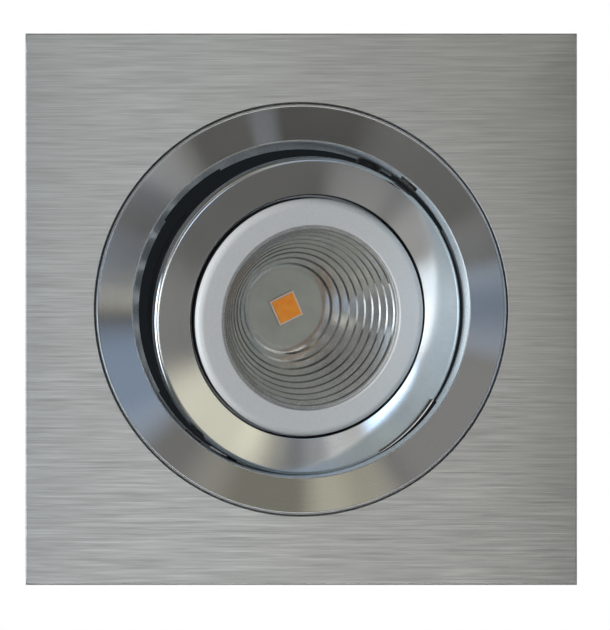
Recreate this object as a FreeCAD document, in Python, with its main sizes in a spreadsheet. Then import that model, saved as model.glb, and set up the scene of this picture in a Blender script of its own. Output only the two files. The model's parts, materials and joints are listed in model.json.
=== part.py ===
"""Square adjustable soffit downlight, 92 mm face plate for a 75 mm cut-out.

Frame, in millimetres: +Z points up into the soffit, the light shines down towards -Z, and the
origin is the centre of the cut-out in the plane where the gasket meets the soffit.

The plate and its collar stay still. A dished ring swivels in them about Z. The lamp head tilts
in that ring on two pins, and it is drawn upright about the pins' axis first, then leaned over.
Two sprung clips at the sides of the collar press the soffit board down on the plate.
"""

import FreeCAD, Part

import math
import os

import Sketcher

# ---------------------------------------------------------------- driving dimensions
SIZES = [
    ("gimbal_r", 26.8, "gimbal ring, outer radius, from which the round pieces follow"),
    ("edge_break", 0.25, "broken sharp edges of the turned and milled pieces"),
    ("seat_play", 0.1, "play between pieces that are seated in one another"),
    ("running_play", 0.05, "play of turning fits"),
    ("swing_gap", 1.4, "gimbal ring to the swivel ring's wall"),
    ("can_wall", 1.9, "swivel ring's wall, thickness"),
    ("dish_wide", 6.0, "swivel ring's dished face, radial width"),
    ("dish_deep", 2.2, "how far the dished face dips from its edge to its lip"),
    ("lip_round", 0.35, "rounded lip where the dish meets the wall"),
    ("bearing_wide", 1.4, "swivel ring's hidden flange, past its face"),
    ("bearing_thick", 1.35, "swivel ring's hidden flange, thickness"),
    ("can_above_pivot", 4.9, "swivel ring's wall, height above the pivot pins"),
    ("slot_wide", 3.4, "narrow slots in the wall, width"),
    ("slot_long", 8.4, "narrow slots in the wall, length"),
    ("slot_turn", 130.5, "direction of the slots, degrees from +X"),
    ("notch_wide", 13.0, "wide notches in the wall's upper edge, width"),
    ("notch_deep", 5.0, "wide notches in the wall's upper edge, depth"),
    ("notch_turn", 47.0, "direction of the first notch, degrees from +X"),
    ("notch_count", 4.0, "number of notches"),
    ("stop_wide", 4.4, "stop block on the collar and stop lug on the ring, width"),
    ("stop_height", 1.6, "stop lug, height"),
    ("stop_gap", 0.3, "stop block to the swivel ring's wall"),
    ("plate_thick", 4.0, "face plate, front to back"),
    ("plate_margin", 1.1, "face plate past the gasket's groove"),
    ("opening_gap", 0.3, "ring to plate, the dark line round the ring"),
    ("gasket_proud", 0.5, "gasket standing above the back of the plate"),
    ("gasket_sunk", 1.0, "depth of the gasket's groove"),
    ("gasket_wide", 3.6, "gasket, radial width"),
    ("groove_play", 0.1, "gasket's play in its groove, each side"),
    ("groove_land", 0.8, "land between the collar's recess and the gasket's groove"),
    ("flange_thick", 1.5, "collar's flange let into the back of the plate"),
    ("flange_wide", 3.3, "collar's flange past the cut-out"),
    ("spigot_wall", 1.25, "part of the collar that fills the cut-out, thickness"),
    ("shelf_top", 2.0, "collar's shelf, height of its upper face above the soffit plane"),
    ("shelf_thick", 1.6, "collar's shelf over the swivel ring, thickness"),
    ("tube_gap", 0.5, "swivel ring's wall to the collar's upper tube"),
    ("tube_wall", 1.4, "collar's upper tube, thickness"),
    ("tube_below_can", 1.9, "collar's upper tube below the swivel ring's upper edge"),
    ("boss_proud", 0.2, "flat of the clip bosses past the tube"),
    ("screw_count", 4.0, "screws that hold the collar to the plate"),
    ("screw_head_r", 1.5, "their countersunk heads"),
    ("screw_r", 0.8, "their threads"),
    ("screw_long", 3.0, "their length"),
    ("screw_cone", 0.7, "height of their countersunk heads"),
    ("washer_inner_gap", 0.6, "swivel washer inside the shelf, from the tube"),
    ("washer_outer_gap", 0.4, "swivel washer inside the edge of the hidden flange"),
    ("pivot_deep", 14.0, "pivot pins behind the plate's front"),
    ("tilt_axis_turn", -65.0, "direction of the tilt pins, degrees from +X"),
    ("rest_tilt", 19.0, "tilt of the lamp as drawn, degrees"),
    ("head_shift", 0.5, "lamp head pushed along the pins against the thin washer"),
    ("pin_r", 1.0, "pivot pins, radius"),
    ("pin_reach", 0.2, "pivot pins past the gimbal's inner wall"),
    ("tilt_washer_r", 2.2, "washers on the pivot pins, outer radius"),
    ("thin_washer", 0.4, "thin washer, thickness"),
    ("thick_bush", 1.5, "friction bush, thickness"),
    ("gimbal_wall", 2.0, "gimbal ring's skirt, thickness"),
    ("gimbal_front", 6.5, "gimbal ring's outer edge in front of the pins"),
    ("gimbal_dip", 1.0, "how far the gimbal's face dips to its inner edge"),
    ("gimbal_back", 3.5, "gimbal ring's skirt behind the pins"),
    ("gimbal_ledge", 3.7, "ledge of the gimbal ring in front of the lamp's flange"),
    ("lamp_seat", 4.0, "seat of the lamp's flange in front of the pins"),
    ("lamp_play", 0.3, "lamp's flange inside the gimbal's skirt"),
    ("lamp_flange_thick", 1.6, "lamp's flange, thickness"),
    ("circlip_thick", 0.8, "circlip, thickness"),
    ("circlip_wide", 2.5, "circlip, radial width"),
    ("circlip_bite", 0.7, "circlip's depth in its groove"),
    ("circlip_gap", 34.0, "circlip's open angle, degrees"),
    ("circlip_eye_r", 1.5, "circlip's eyes, outer radius"),
    ("circlip_eye_hole_r", 0.6, "circlip's eyes, holes"),
    ("trim_gap", 0.8, "dark gap between the gimbal ring and the trim ring"),
    ("trim_shoulder", 3.4, "trim ring's shoulder in front of the lamp body"),
    ("trim_round", 1.0, "trim ring's rounded front edge"),
    ("trim_front", 7.2, "trim ring's face in front of the pins"),
    ("trim_lip_cover", 0.3, "trim ring's inner lip over the reflector's rim"),
    ("trim_lip_thick", 1.0, "trim ring's inner lip, thickness"),
    ("trim_spigot_long", 2.5, "trim ring's spigot in the lamp body"),
    ("trim_spigot_wall", 0.6, "trim ring's spigot, thickness"),
    ("cup_wall", 1.2, "lamp body's cup, thickness"),
    ("rim_wide", 0.9, "reflector's rim, radial width"),
    ("reflector_rim_thick", 0.6, "reflector's rim, thickness"),
    ("floor_deep", 8.2, "LED board's face behind the pins"),
    ("reflector_wall", 0.8, "reflector's least wall"),
    ("reflector_steps", 9.0, "number of steps in the reflector"),
    ("board_margin", 4.5, "LED board past the reflector's floor opening"),
    ("board_gap", 0.5, "LED board's edge to the cable grommet"),
    ("board_thick", 1.5, "LED board, thickness"),
    ("pad_thick", 0.5, "thermal pad, thickness"),
    ("board_screw_edge", 1.4, "LED board's screws from its edge"),
    ("board_screw_head_r", 1.25, "LED board's screws, heads"),
    ("board_screw_head", 0.7, "LED board's screws, head height"),
    ("board_screw_long", 3.6, "LED board's screws, length under the head"),
    ("package_side", 4.7, "emitter's pale frame, side"),
    ("package_thick", 0.5, "emitter's pale frame, height"),
    ("phosphor_side", 4.1, "emitter's orange square, side"),
    ("phosphor_thick", 0.25, "emitter's orange square, height"),
    ("package_turn", -25.0, "emitter's turn on the board, degrees"),
    ("base_thick", 2.4, "lamp body's base behind the LED board, thickness"),
    ("fin_count", 24.0, "places for fins round the lamp body"),
    ("fins_left_out", 2.0, "fins left out where the cable comes in"),
    ("fin_thick", 1.0, "fins, thickness"),
    ("fin_inset", 0.2, "fins' outer edges inside the trim ring's"),
    ("fin_start", 1.2, "fins' front edge in front of the pins"),
    ("fin_top", 25.0, "fins' back edge behind the pins"),
    ("fin_core_r", 5.6, "solid core inside the fins, radius"),
    ("fin_corner", 1.2, "corner cut off the fins at the back"),
    ("grommet_edge_gap", 0.3, "cable grommet's flange inside the cup"),
    ("grommet_hole_r", 1.9, "hole for the grommet's waist"),
    ("grommet_flange_r", 2.3, "grommet's flanges"),
    ("grommet_flange_thick", 1.0, "grommet's flanges, thickness"),
    ("cable_hole_r", 1.3, "grommet's bore for the cable"),
    ("clip_pin_out", 2.0, "clip hinge pins from the flat of the bosses"),
    ("clip_pin_rise", 2.8, "clip hinge pins above the bracket's back"),
    ("clip_pin_r", 1.0, "clip hinge pins, radius"),
    ("clip_head_r", 1.7, "clip hinge pins, heads"),
    ("clip_head_thick", 0.6, "clip hinge pins, head thickness"),
    ("bracket_half_wide", 7.0, "clip bracket, half its width"),
    ("sheet_thick", 1.0, "pressed steel of brackets and clip arms"),
    ("bracket_foot", 4.0, "lower edge of the bracket above the soffit plane"),
    ("bracket_rise", 2.5, "bracket's back above the collar's tube"),
    ("ear_round", 2.2, "rounding of the bracket's ears about the pin"),
    ("ear_drop", 2.5, "bracket's ears start this far below the collar's upper edge"),
    ("rivet_drop", 2.1, "upper rivet below the collar's upper edge"),
    ("rivet_apart", 4.2, "rivets, one to the other"),
    ("rivet_r", 0.8, "rivets, shank"),
    ("rivet_head_r", 1.5, "rivets, heads"),
    ("rivet_head_thick", 0.7, "rivets, head thickness"),
    ("cheek_play", 0.3, "clip arm's cheeks to the bracket's ears"),
    ("cheek_round", 2.0, "clip arm's cheeks about the pin"),
    ("arm_lean", 10.0, "clip arm from straight down as drawn, degrees"),
    ("web_start", 3.4, "clip arm's web from the pin"),
    ("cheek_long", 8.0, "clip arm's cheeks from the pin"),
    ("arm_floor_gap", 0.1, "clip pad above the collar's flange as drawn"),
    ("shoe_long", 5.0, "clip pad, length"),
    ("shoe_half_thick", 1.2, "clip pad, half its thickness"),
    ("shoe_tip", 1.0, "clip pad beyond the end of the arm"),
    ("shoe_past_side", 0.8, "clip pad past each side of the arm"),
    ("spring_wire_r", 0.4, "clip spring's wire, radius"),
    ("spring_turns", 4.0, "clip spring's whole turns"),
    ("spring_pitch", 1.5, "clip spring, turn to turn along the pin"),
    ("spring_tail", 4.0, "clip spring's leg behind the bracket"),
    ("spring_leg", 9.0, "clip spring's leg on the arm"),
]

# Places worked out from the dimensions. Radii end in _r. The rest are heights along Z, those of
# the lamp head counted from its pivot pins, or lengths along a clip's arm.
PLACES = [
    ("can_inner_r", "gimbal_r + swing_gap"),
    ("can_outer_r", "can_inner_r + can_wall"),
    ("boss_ring_r", "can_inner_r + dish_wide"),
    ("bearing_r", "boss_ring_r + bearing_wide"),
    ("collar_bore_r", "bearing_r + running_play"),
    ("spigot_r", "collar_bore_r + spigot_wall"),
    ("flange_r", "spigot_r + flange_wide"),
    ("screw_ring_r", "(spigot_r + flange_r) / 2"),
    ("recess_r", "flange_r + seat_play"),
    ("gasket_inner_r", "recess_r + groove_land + groove_play"),
    ("gasket_outer_r", "gasket_inner_r + gasket_wide"),
    ("plate_side", "2 * (gasket_outer_r + groove_play + plate_margin)"),
    ("plate_hole_r", "boss_ring_r + opening_gap"),
    ("tube_inner_r", "can_outer_r + tube_gap"),
    ("tube_outer_r", "tube_inner_r + tube_wall"),
    ("stop_inner_r", "can_outer_r + stop_gap"),
    ("lug_outer_r", "tube_inner_r + tube_wall / 3"),
    ("washer_inner_r", "tube_inner_r + washer_inner_gap"),
    ("washer_outer_r", "bearing_r - washer_outer_gap"),
    ("skirt_inner_r", "gimbal_r - gimbal_wall"),
    ("lamp_flange_r", "skirt_inner_r - lamp_play"),
    ("circlip_groove_r", "skirt_inner_r + circlip_bite"),
    ("circlip_outer_r", "circlip_groove_r - seat_play"),
    ("circlip_inner_r", "circlip_outer_r - circlip_wide"),
    ("gimbal_hole_r", "lamp_flange_r - gimbal_ledge"),
    ("trim_r", "gimbal_hole_r - trim_gap"),
    ("cup_inner_r", "trim_r - trim_shoulder"),
    ("cup_outer_r", "cup_inner_r + cup_wall"),
    ("trim_spigot_r", "cup_inner_r - seat_play"),
    ("trim_bore_r", "trim_spigot_r - trim_spigot_wall"),
    ("reflector_rim_r", "trim_bore_r - seat_play"),
    ("trim_lip_r", "reflector_rim_r - trim_lip_cover"),
    ("mouth_r", "reflector_rim_r - rim_wide"),
    ("grommet_ring_r", "cup_inner_r - grommet_flange_r - grommet_edge_gap"),
    ("board_r", "grommet_ring_r - grommet_flange_r - board_gap"),
    ("board_screw_ring_r", "board_r - board_screw_edge"),
    ("floor_r", "board_r - board_margin"),
    ("fin_r", "trim_r - fin_inset"),
    ("plate_back", "-gasket_proud"),
    ("plate_front", "plate_back - plate_thick"),
    ("recess_floor", "plate_back - flange_thick"),
    ("gasket_bottom", "plate_back - gasket_sunk"),
    ("shelf_bottom", "shelf_top - shelf_thick"),
    ("bearing_bottom", "recess_floor + running_play"),
    ("bearing_top", "bearing_bottom + bearing_thick"),
    ("pivot_z", "plate_front + pivot_deep"),
    ("can_top", "pivot_z + can_above_pivot"),
    ("tube_top", "can_top - tube_below_can"),
    ("lip_z", "plate_front + dish_deep"),
    ("slot_bottom", "bearing_top + seat_play"),
    ("notch_bottom", "can_top - notch_deep"),
    ("stop_bottom", "can_top - stop_height"),
    ("circlip_z", "lamp_flange_thick - lamp_seat"),
    ("trim_lip_back", "trim_lip_thick - trim_front"),
    ("led_seat", "floor_deep + board_thick + pad_thick"),
    ("base_back", "led_seat + base_thick"),
    ("boss_face", "tube_outer_r + boss_proud"),
    ("bracket_face", "boss_face + sheet_thick"),
    ("bracket_top", "tube_top + bracket_rise"),
    ("ear_foot", "tube_top - ear_drop"),
    ("rivet_high", "tube_top - rivet_drop"),
    ("rivet_low", "rivet_high - rivet_apart"),
    ("clip_pin_from_axis", "boss_face + clip_pin_out"),
    ("clip_pin_height", "bracket_top + clip_pin_rise"),
    ("spring_coil_r", "clip_pin_out + spring_wire_r + running_play"),
    ("cheek_outer_y", "bracket_half_wide - sheet_thick - cheek_play"),
    ("arm_offset", "clip_pin_out - sheet_thick"),
    ("web_mid", "arm_offset + sheet_thick / 2"),
    ("arm_drop", "clip_pin_height - plate_back - arm_floor_gap"),
    ("shoe_end", "(arm_drop + (web_mid - shoe_half_thick) * sin(arm_lean * 1deg))"
                 " / cos(arm_lean * 1deg)"),
    ("shoe_start", "shoe_end - shoe_long"),
    ("arm_long", "shoe_end - shoe_tip"),
]

doc = FreeCAD.newDocument("SoffitDownlight")
sizes = doc.addObject("Spreadsheet::Sheet", "Sizes")
for row, (alias, number, meaning) in enumerate(SIZES, start=1):
    sizes.set(f"A{row}", meaning)
    sizes.set(f"B{row}", str(number))
    sizes.setAlias(f"B{row}", alias)

ALIASES = {alias: f"Sizes.{alias}" for alias, number, meaning in SIZES}
ALIASES.update({alias: f"Places.{alias}" for alias, formula in PLACES})


def bound(text):
    """Spell a formula of plain names with the sheet that each name is kept in."""
    words = []
    word = ""
    for letter in text + " ":
        if letter.isalnum() or letter in "_.":
            word += letter
            continue
        words.append(ALIASES.get(word, word))
        words.append(letter)
        word = ""
    return "".join(words).strip()


places = doc.addObject("Spreadsheet::Sheet", "Places")
for row, (alias, formula) in enumerate(PLACES, start=1):
    places.setAlias(f"A{row}", alias)
    places.set(f"A{row}", "=" + bound(formula).replace("Places.", ""))
doc.recompute()


def size(alias):
    """Number behind a name, in millimetres or degrees."""
    sheet = sizes if ALIASES[alias].startswith("Sizes.") else places
    number = getattr(sheet, alias)
    return float(getattr(number, "Value", number))


# ---------------------------------------------------------------- drawing helpers
PIECES = []


def new_piece(label):
    body = doc.addObject("PartDesign::Body", label)
    body.Label = label
    PIECES.append(body)
    return body


def origin_part(body, role):
    return [feature for feature in body.Origin.OriginFeatures if feature.Role == role][0]


def new_sketch(body, name, role, height="0", turn="0"):
    """Sketch on one of the body's own planes, raised and turned in that plane."""
    sketch = body.newObject("Sketcher::SketchObject", f"{body.Name}_{name}")
    sketch.AttachmentSupport = [(origin_part(body, role), "")]
    sketch.MapMode = "FlatFace"
    sketch.setExpression("AttachmentOffset.Base.z", bound(height))
    sketch.setExpression("AttachmentOffset.Rotation.Angle", bound(turn))
    return sketch


def pin_point(sketch, geometry, point, x, y):
    for kind, formula in (("DistanceX", x), ("DistanceY", y)):
        index = sketch.addConstraint(Sketcher.Constraint(kind, -1, 1, geometry, point, 1.0))
        sketch.setExpression(f"Constraints[{index}]", bound(formula))


def outline(sketch, corners):
    """Closed outline of straight lines with each corner's place bound to the sheets."""
    first = sketch.GeometryCount
    count = len(corners)
    for index in range(count):
        here = math.tau * index / count
        after = math.tau * (index + 1) / count
        start = FreeCAD.Vector(math.cos(here), math.sin(here), 0)
        end = FreeCAD.Vector(math.cos(after), math.sin(after), 0)
        sketch.addGeometry(Part.LineSegment(start, end), False)
    for index in range(count):
        after = (index + 1) % count
        sketch.addConstraint(
            Sketcher.Constraint("Coincident", first + index, 2, first + after, 1))
    for index, (x, y) in enumerate(corners):
        pin_point(sketch, first + index, 1, x, y)


def circle(sketch, x, y, radius):
    index = sketch.GeometryCount
    sketch.addGeometry(Part.Circle(FreeCAD.Vector(1, 1, 0), FreeCAD.Vector(0, 0, 1), 1), False)
    pin_point(sketch, index, 3, x, y)
    constraint = sketch.addConstraint(Sketcher.Constraint("Radius", index, 1.0))
    sketch.setExpression(f"Constraints[{constraint}]", bound(radius))


def rectangle(sketch, low_x, low_y, high_x, high_y):
    outline(sketch, [(low_x, low_y), (high_x, low_y), (high_x, high_y), (low_x, high_y)])


def turned(body, corners, name="profile"):
    """Solid of revolution about Z from an outline of radius and height."""
    sketch = new_sketch(body, name, "XZ_Plane")
    outline(sketch, corners)
    feature = body.newObject("PartDesign::Revolution", f"{body.Name}_{name}_turned")
    feature.Profile = sketch
    feature.ReferenceAxis = (sketch, ["V_Axis"])
    feature.Angle = 360
    sketch.Visibility = False
    return feature


def raised(body, sketch, length, both_ways=False):
    feature = body.newObject("PartDesign::Pad", f"{sketch.Name}_pad")
    feature.Profile = sketch
    feature.Midplane = both_ways
    feature.setExpression("Length", bound(length))
    return feature


def sunk(body, sketch, length, upwards=False, both_ways=False):
    feature = body.newObject("PartDesign::Pocket", f"{sketch.Name}_pocket")
    feature.Profile = sketch
    feature.Reversed = upwards
    feature.Midplane = both_ways
    feature.setExpression("Length", bound(length))
    return feature


def round_about(body, features, count, angle=360):
    pattern = body.newObject("PartDesign::PolarPattern", f"{body.Name}_round_{len(body.Group)}")
    pattern.Originals = features
    pattern.Axis = (origin_part(body, "Z_Axis"), [""])
    pattern.Angle = angle
    pattern.Occurrences = int(round(count))
    body.Tip = pattern
    return pattern


def rod(body, kind, radius, start, length, direction, point=(0, 0, 0)):
    """Round bar added to or cut from a body, from start along a direction through a point."""
    feature = body.newObject(f"PartDesign::{kind}Cylinder", f"{body.Name}_rod_{len(body.Group)}")
    feature.setExpression("Radius", bound(radius))
    feature.Height = length
    way = FreeCAD.Vector(*direction)
    feature.Placement = FreeCAD.Placement(
        FreeCAD.Vector(*point) + way * start,
        FreeCAD.Rotation(FreeCAD.Vector(0, 0, 1), way))
    return feature


def ring(label, inner, outer, bottom, top):
    body = new_piece(label)
    turned(body, [(inner, bottom), (outer, bottom), (outer, top), (inner, top)])
    return body


def direction(degrees):
    return (math.cos(math.radians(degrees)), math.sin(math.radians(degrees)), 0.0)


def level_edges(body, height, largest_r=0):
    """Names of a body's edges at one height: the straight ones, or small circles if a radius is set."""
    found = []
    for index, edge in enumerate(body.Shape.Edges, start=1):
        box = edge.BoundBox
        if abs(box.ZMin - height) > 1e-4 or abs(box.ZMax - height) > 1e-4:
            continue
        straight = isinstance(edge.Curve, Part.Line)
        if straight if not largest_r else not straight and edge.Curve.Radius < largest_r:
            found.append(f"Edge{index}")
    return found


def broken(body, edges, width="edge_break"):
    feature = body.newObject("PartDesign::Chamfer", f"{body.Name}_break_{len(body.Group)}")
    feature.Base = (body.Group[-2], edges)
    feature.setExpression("Size", bound(width))
    return feature


TILT_AXIS = direction(size("tilt_axis_turn"))


def seat_in_head(piece, local=FreeCAD.Placement()):
    """Place an upright piece of the lamp head: shifted along the pins and leaned over."""
    axis = FreeCAD.Vector(*TILT_AXIS)
    pivot = FreeCAD.Vector(0, 0, size("pivot_z")) - axis * size("head_shift")
    lean = FreeCAD.Rotation(axis, size("rest_tilt"))
    piece.Placement = FreeCAD.Placement(pivot, lean).multiply(local)


# ---------------------------------------------------------------- the face and its collar
def make_front_plate():
    body = new_piece("front_plate")
    square = new_sketch(body, "square", "XY_Plane", "plate_front")
    half = "plate_side / 2"
    rectangle(square, f"-({half})", f"-({half})", half, half)
    circle(square, "0", "0", "plate_hole_r")
    raised(body, square, "plate_thick")
    recess = new_sketch(body, "recess", "XY_Plane", "plate_back")
    circle(recess, "0", "0", "recess_r")
    sunk(body, recess, "flange_thick")
    groove = new_sketch(body, "groove", "XY_Plane", "plate_back")
    circle(groove, "0", "0", "gasket_outer_r + groove_play")
    circle(groove, "0", "0", "gasket_inner_r - groove_play")
    sunk(body, groove, "gasket_sunk")
    threads = new_sketch(body, "threads", "XY_Plane", "recess_floor", "45")
    circle(threads, "screw_ring_r", "0", "screw_r")
    hole = sunk(body, threads, "screw_long - flange_thick + seat_play")
    round_about(body, [hole], size("screw_count"))
    doc.recompute()
    broken(body, level_edges(body, size("plate_front")))


def make_soffit_gasket():
    ring("soffit_gasket", "gasket_inner_r", "gasket_outer_r", "gasket_bottom", "0")


def make_mounting_collar():
    body = new_piece("mounting_collar")
    turned(body, [
        ("collar_bore_r", "recess_floor"),
        ("flange_r", "recess_floor"),
        ("flange_r", "plate_back"),
        ("spigot_r", "plate_back"),
        ("spigot_r", "shelf_top - edge_break"),
        ("spigot_r - edge_break", "shelf_top"),
        ("tube_outer_r", "shelf_top"),
        ("tube_outer_r", "tube_top"),
        ("tube_inner_r", "tube_top"),
        ("tube_inner_r", "shelf_bottom"),
        ("collar_bore_r", "shelf_bottom"),
    ])
    boss = new_sketch(body, "boss", "XY_Plane", "shelf_top")
    rectangle(boss, "tube_inner_r + edge_break", "-bracket_half_wide", "boss_face",
              "bracket_half_wide")
    round_about(body, [raised(body, boss, "tube_top - shelf_top")], 2)
    stop = new_sketch(body, "stop", "XY_Plane", "tube_top", "-90")
    rectangle(stop, "stop_inner_r", "-stop_wide / 2", "tube_outer_r - edge_break",
              "stop_wide / 2")
    raised(body, stop, "can_top - tube_top - edge_break")
    shank = new_sketch(body, "shank", "XY_Plane", "plate_back", "45")
    circle(shank, "screw_ring_r", "0", "screw_r + seat_play")
    through = sunk(body, shank, "flange_thick")
    round_about(body, [through], size("screw_count"))
    doc.recompute()
    broken(body, level_edges(body, size("plate_back"), size("screw_head_r")), "screw_cone")
    for height in ("rivet_low", "rivet_high"):
        rod(body, "Subtractive", "rivet_r + running_play", -size("spigot_r"),
            2 * size("spigot_r"), (1, 0, 0), (0, 0, size(height)))


def make_collar_screws():
    body = new_piece("collar_screws")
    sketch = new_sketch(body, "profile", "XZ_Plane", "0")
    middle = "screw_ring_r"
    tip = "plate_back - screw_long"
    outline(sketch, [
        (middle, "plate_back"),
        (f"{middle} + screw_head_r", "plate_back"),
        (f"{middle} + screw_r", "plate_back - screw_cone"),
        (f"{middle} + screw_r", f"{tip} + edge_break"),
        (f"{middle} + screw_r - edge_break", tip),
        (middle, tip),
    ])
    feature = body.newObject("PartDesign::Revolution", "collar_screw_turned")
    feature.Profile = sketch
    feature.ReferenceAxis = (sketch, [f"Edge{sketch.GeometryCount}"])
    feature.Angle = 360
    round_about(body, [feature], size("screw_count"))
    body.Placement = FreeCAD.Placement(
        FreeCAD.Vector(0, 0, 0), FreeCAD.Rotation(FreeCAD.Vector(0, 0, 1), 45))


def make_swivel_washer():
    ring("swivel_washer", "washer_inner_r", "washer_outer_r",
         "bearing_top + running_play", "shelf_bottom - running_play")


# ---------------------------------------------------------------- the ring that swivels
def make_swivel_ring():
    body = new_piece("swivel_ring")
    lip_steps = 4
    lip = []
    for step in range(lip_steps + 1):
        turn = f"{90 - 90 * step / lip_steps} * 1deg"
        lip.append((f"can_inner_r + lip_round - lip_round * cos({turn})",
                    f"lip_z + lip_round - lip_round * sin({turn})"))
    turned(body, [
        ("can_inner_r", "can_top"),
        ("can_outer_r", "can_top"),
        ("can_outer_r", "bearing_top"),
        ("bearing_r", "bearing_top"),
        ("bearing_r", "bearing_bottom"),
        ("boss_ring_r", "bearing_bottom"),
        ("boss_ring_r", "plate_front + edge_break"),
        ("boss_ring_r - edge_break", "plate_front"),
    ] + lip)
    slot = new_sketch(body, "slot", "XY_Plane", "slot_bottom", "slot_turn")
    rectangle(slot, "can_inner_r - 2 * edge_break - slot_wide / 2", "-slot_wide / 2",
              "can_outer_r + edge_break", "slot_wide / 2")
    round_about(body, [sunk(body, slot, "slot_long", upwards=True)], 2)
    notch = new_sketch(body, "notch", "XY_Plane", "notch_bottom", "notch_turn")
    rectangle(notch, "can_inner_r - notch_deep", "-notch_wide / 2",
              "can_outer_r + edge_break", "notch_wide / 2")
    round_about(body, [sunk(body, notch, "notch_deep + edge_break", upwards=True)],
                size("notch_count"))
    lug = new_sketch(body, "lug", "XY_Plane", "stop_bottom", "90")
    rectangle(lug, "can_outer_r - can_wall / 2", "-stop_wide / 2", "lug_outer_r",
              "stop_wide / 2")
    raised(body, lug, "stop_height")
    rod(body, "Subtractive", "pin_r", -size("bearing_r"), 2 * size("bearing_r"),
        TILT_AXIS, (0, 0, size("pivot_z")))


def pin_ends(side):
    """Inner and outer end of a pivot pin along the tilt axis, on one side of the centre."""
    inner = size("skirt_inner_r") - side * size("head_shift") - size("pin_reach")
    outer = size("can_outer_r") - size("seat_play")
    return inner, outer


def make_pivot_pins():
    body = new_piece("pivot_pins")
    for side in (1, -1):
        inner, outer = pin_ends(side)
        way = tuple(side * part for part in TILT_AXIS)
        rod(body, "Additive", "pin_r", inner, outer - inner, way, (0, 0, size("pivot_z")))


def wall_at(radius, distance):
    """How far out a round wall is, beside its axis by some distance."""
    return math.sqrt(radius ** 2 - distance ** 2)


def place_on_pins(piece, side, nearest, thick):
    """Centre a flat washer between the gimbal's skirt and the ring's wall."""
    farthest = wall_at(size("can_inner_r"), size("tilt_washer_r"))
    start = (nearest + farthest - thick) / 2
    way = FreeCAD.Vector(*TILT_AXIS) * side
    middle = FreeCAD.Vector(0, 0, size("pivot_z"))
    turn = FreeCAD.Rotation(FreeCAD.Vector(0, 0, 1), way)
    piece.Placement = FreeCAD.Placement(middle + way * start, turn)


def make_tilt_washers():
    washer = ring("tilt_washer", "pin_r + running_play", "tilt_washer_r", "0", "thin_washer")
    place_on_pins(washer, -1, size("gimbal_r") + size("head_shift"), size("thin_washer"))
    bush = ring("tilt_bush", "pin_r + running_play", "tilt_washer_r", "0", "thick_bush")
    place_on_pins(bush, 1, size("gimbal_r") - size("head_shift"), size("thick_bush"))


# ---------------------------------------------------------------- the lamp head
def make_gimbal_ring():
    body = new_piece("gimbal_ring")
    turned(body, [
        ("gimbal_r", "edge_break - gimbal_front"),
        ("gimbal_r - edge_break", "-gimbal_front"),
        ("gimbal_hole_r + edge_break", "gimbal_dip - gimbal_front"),
        ("gimbal_hole_r", "gimbal_dip - gimbal_front + edge_break"),
        ("gimbal_hole_r", "-lamp_seat"),
        ("skirt_inner_r", "-lamp_seat"),
        ("skirt_inner_r", "circlip_z"),
        ("circlip_groove_r", "circlip_z"),
        ("circlip_groove_r", "circlip_z + circlip_thick + seat_play"),
        ("skirt_inner_r", "circlip_z + circlip_thick + seat_play"),
        ("skirt_inner_r", "gimbal_back"),
        ("gimbal_r - edge_break", "gimbal_back"),
        ("gimbal_r", "gimbal_back - edge_break"),
    ])
    rod(body, "Subtractive", "pin_r + running_play", -2 * size("gimbal_r"),
        4 * size("gimbal_r"), TILT_AXIS)
    seat_in_head(body)


def make_lamp_circlip():
    body = new_piece("lamp_circlip")
    sketch = new_sketch(body, "profile", "XZ_Plane")
    rectangle(sketch, "circlip_inner_r", "circlip_z", "circlip_outer_r",
              "circlip_z + circlip_thick")
    feature = body.newObject("PartDesign::Revolution", "lamp_circlip_turned")
    feature.Profile = sketch
    feature.ReferenceAxis = (sketch, ["V_Axis"])
    feature.setExpression("Angle", bound("360 - circlip_gap"))
    eye_ring = size("circlip_inner_r") + size("seat_play")
    ends = (0.0, size("circlip_gap") - 360.0)
    for end in ends:
        middle = tuple(eye_ring * part for part in direction(end)[:2]) + (size("circlip_z"),)
        rod(body, "Additive", "circlip_eye_r", 0, size("circlip_thick"), (0, 0, 1), middle)
    for end in ends:
        middle = tuple(eye_ring * part for part in direction(end)[:2]) + (size("circlip_z"),)
        rod(body, "Subtractive", "circlip_eye_hole_r", 0, size("circlip_thick"), (0, 0, 1), middle)
    seat_in_head(body)


def make_lamp_trim():
    body = new_piece("lamp_trim")
    round_steps = 6
    edge = []
    for step in range(round_steps + 1):
        turn = f"{90 * step / round_steps} * 1deg"
        edge.append((f"trim_r - trim_round + trim_round * sin({turn})",
                     f"trim_round - trim_front - trim_round * cos({turn})"))
    turned(body, edge + [
        ("trim_r", "-lamp_seat"),
        ("trim_spigot_r", "-lamp_seat"),
        ("trim_spigot_r", "trim_spigot_long - lamp_seat"),
        ("trim_bore_r", "trim_spigot_long - lamp_seat"),
        ("trim_bore_r", "trim_lip_back"),
        ("trim_lip_r", "trim_lip_back"),
        ("trim_lip_r", "edge_break - trim_front"),
        ("trim_lip_r + edge_break", "-trim_front"),
    ])
    seat_in_head(body)


def reflector_radius(share):
    """Radius of the reflector's curve, a parabola, at a share of its depth from the floor."""
    return f"sqrt(floor_r * floor_r + {share:.6f} * (mouth_r * mouth_r - floor_r * floor_r))"


def reflector_height(share):
    return f"floor_deep - {share:.6f} * (floor_deep - trim_lip_back)"


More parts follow.
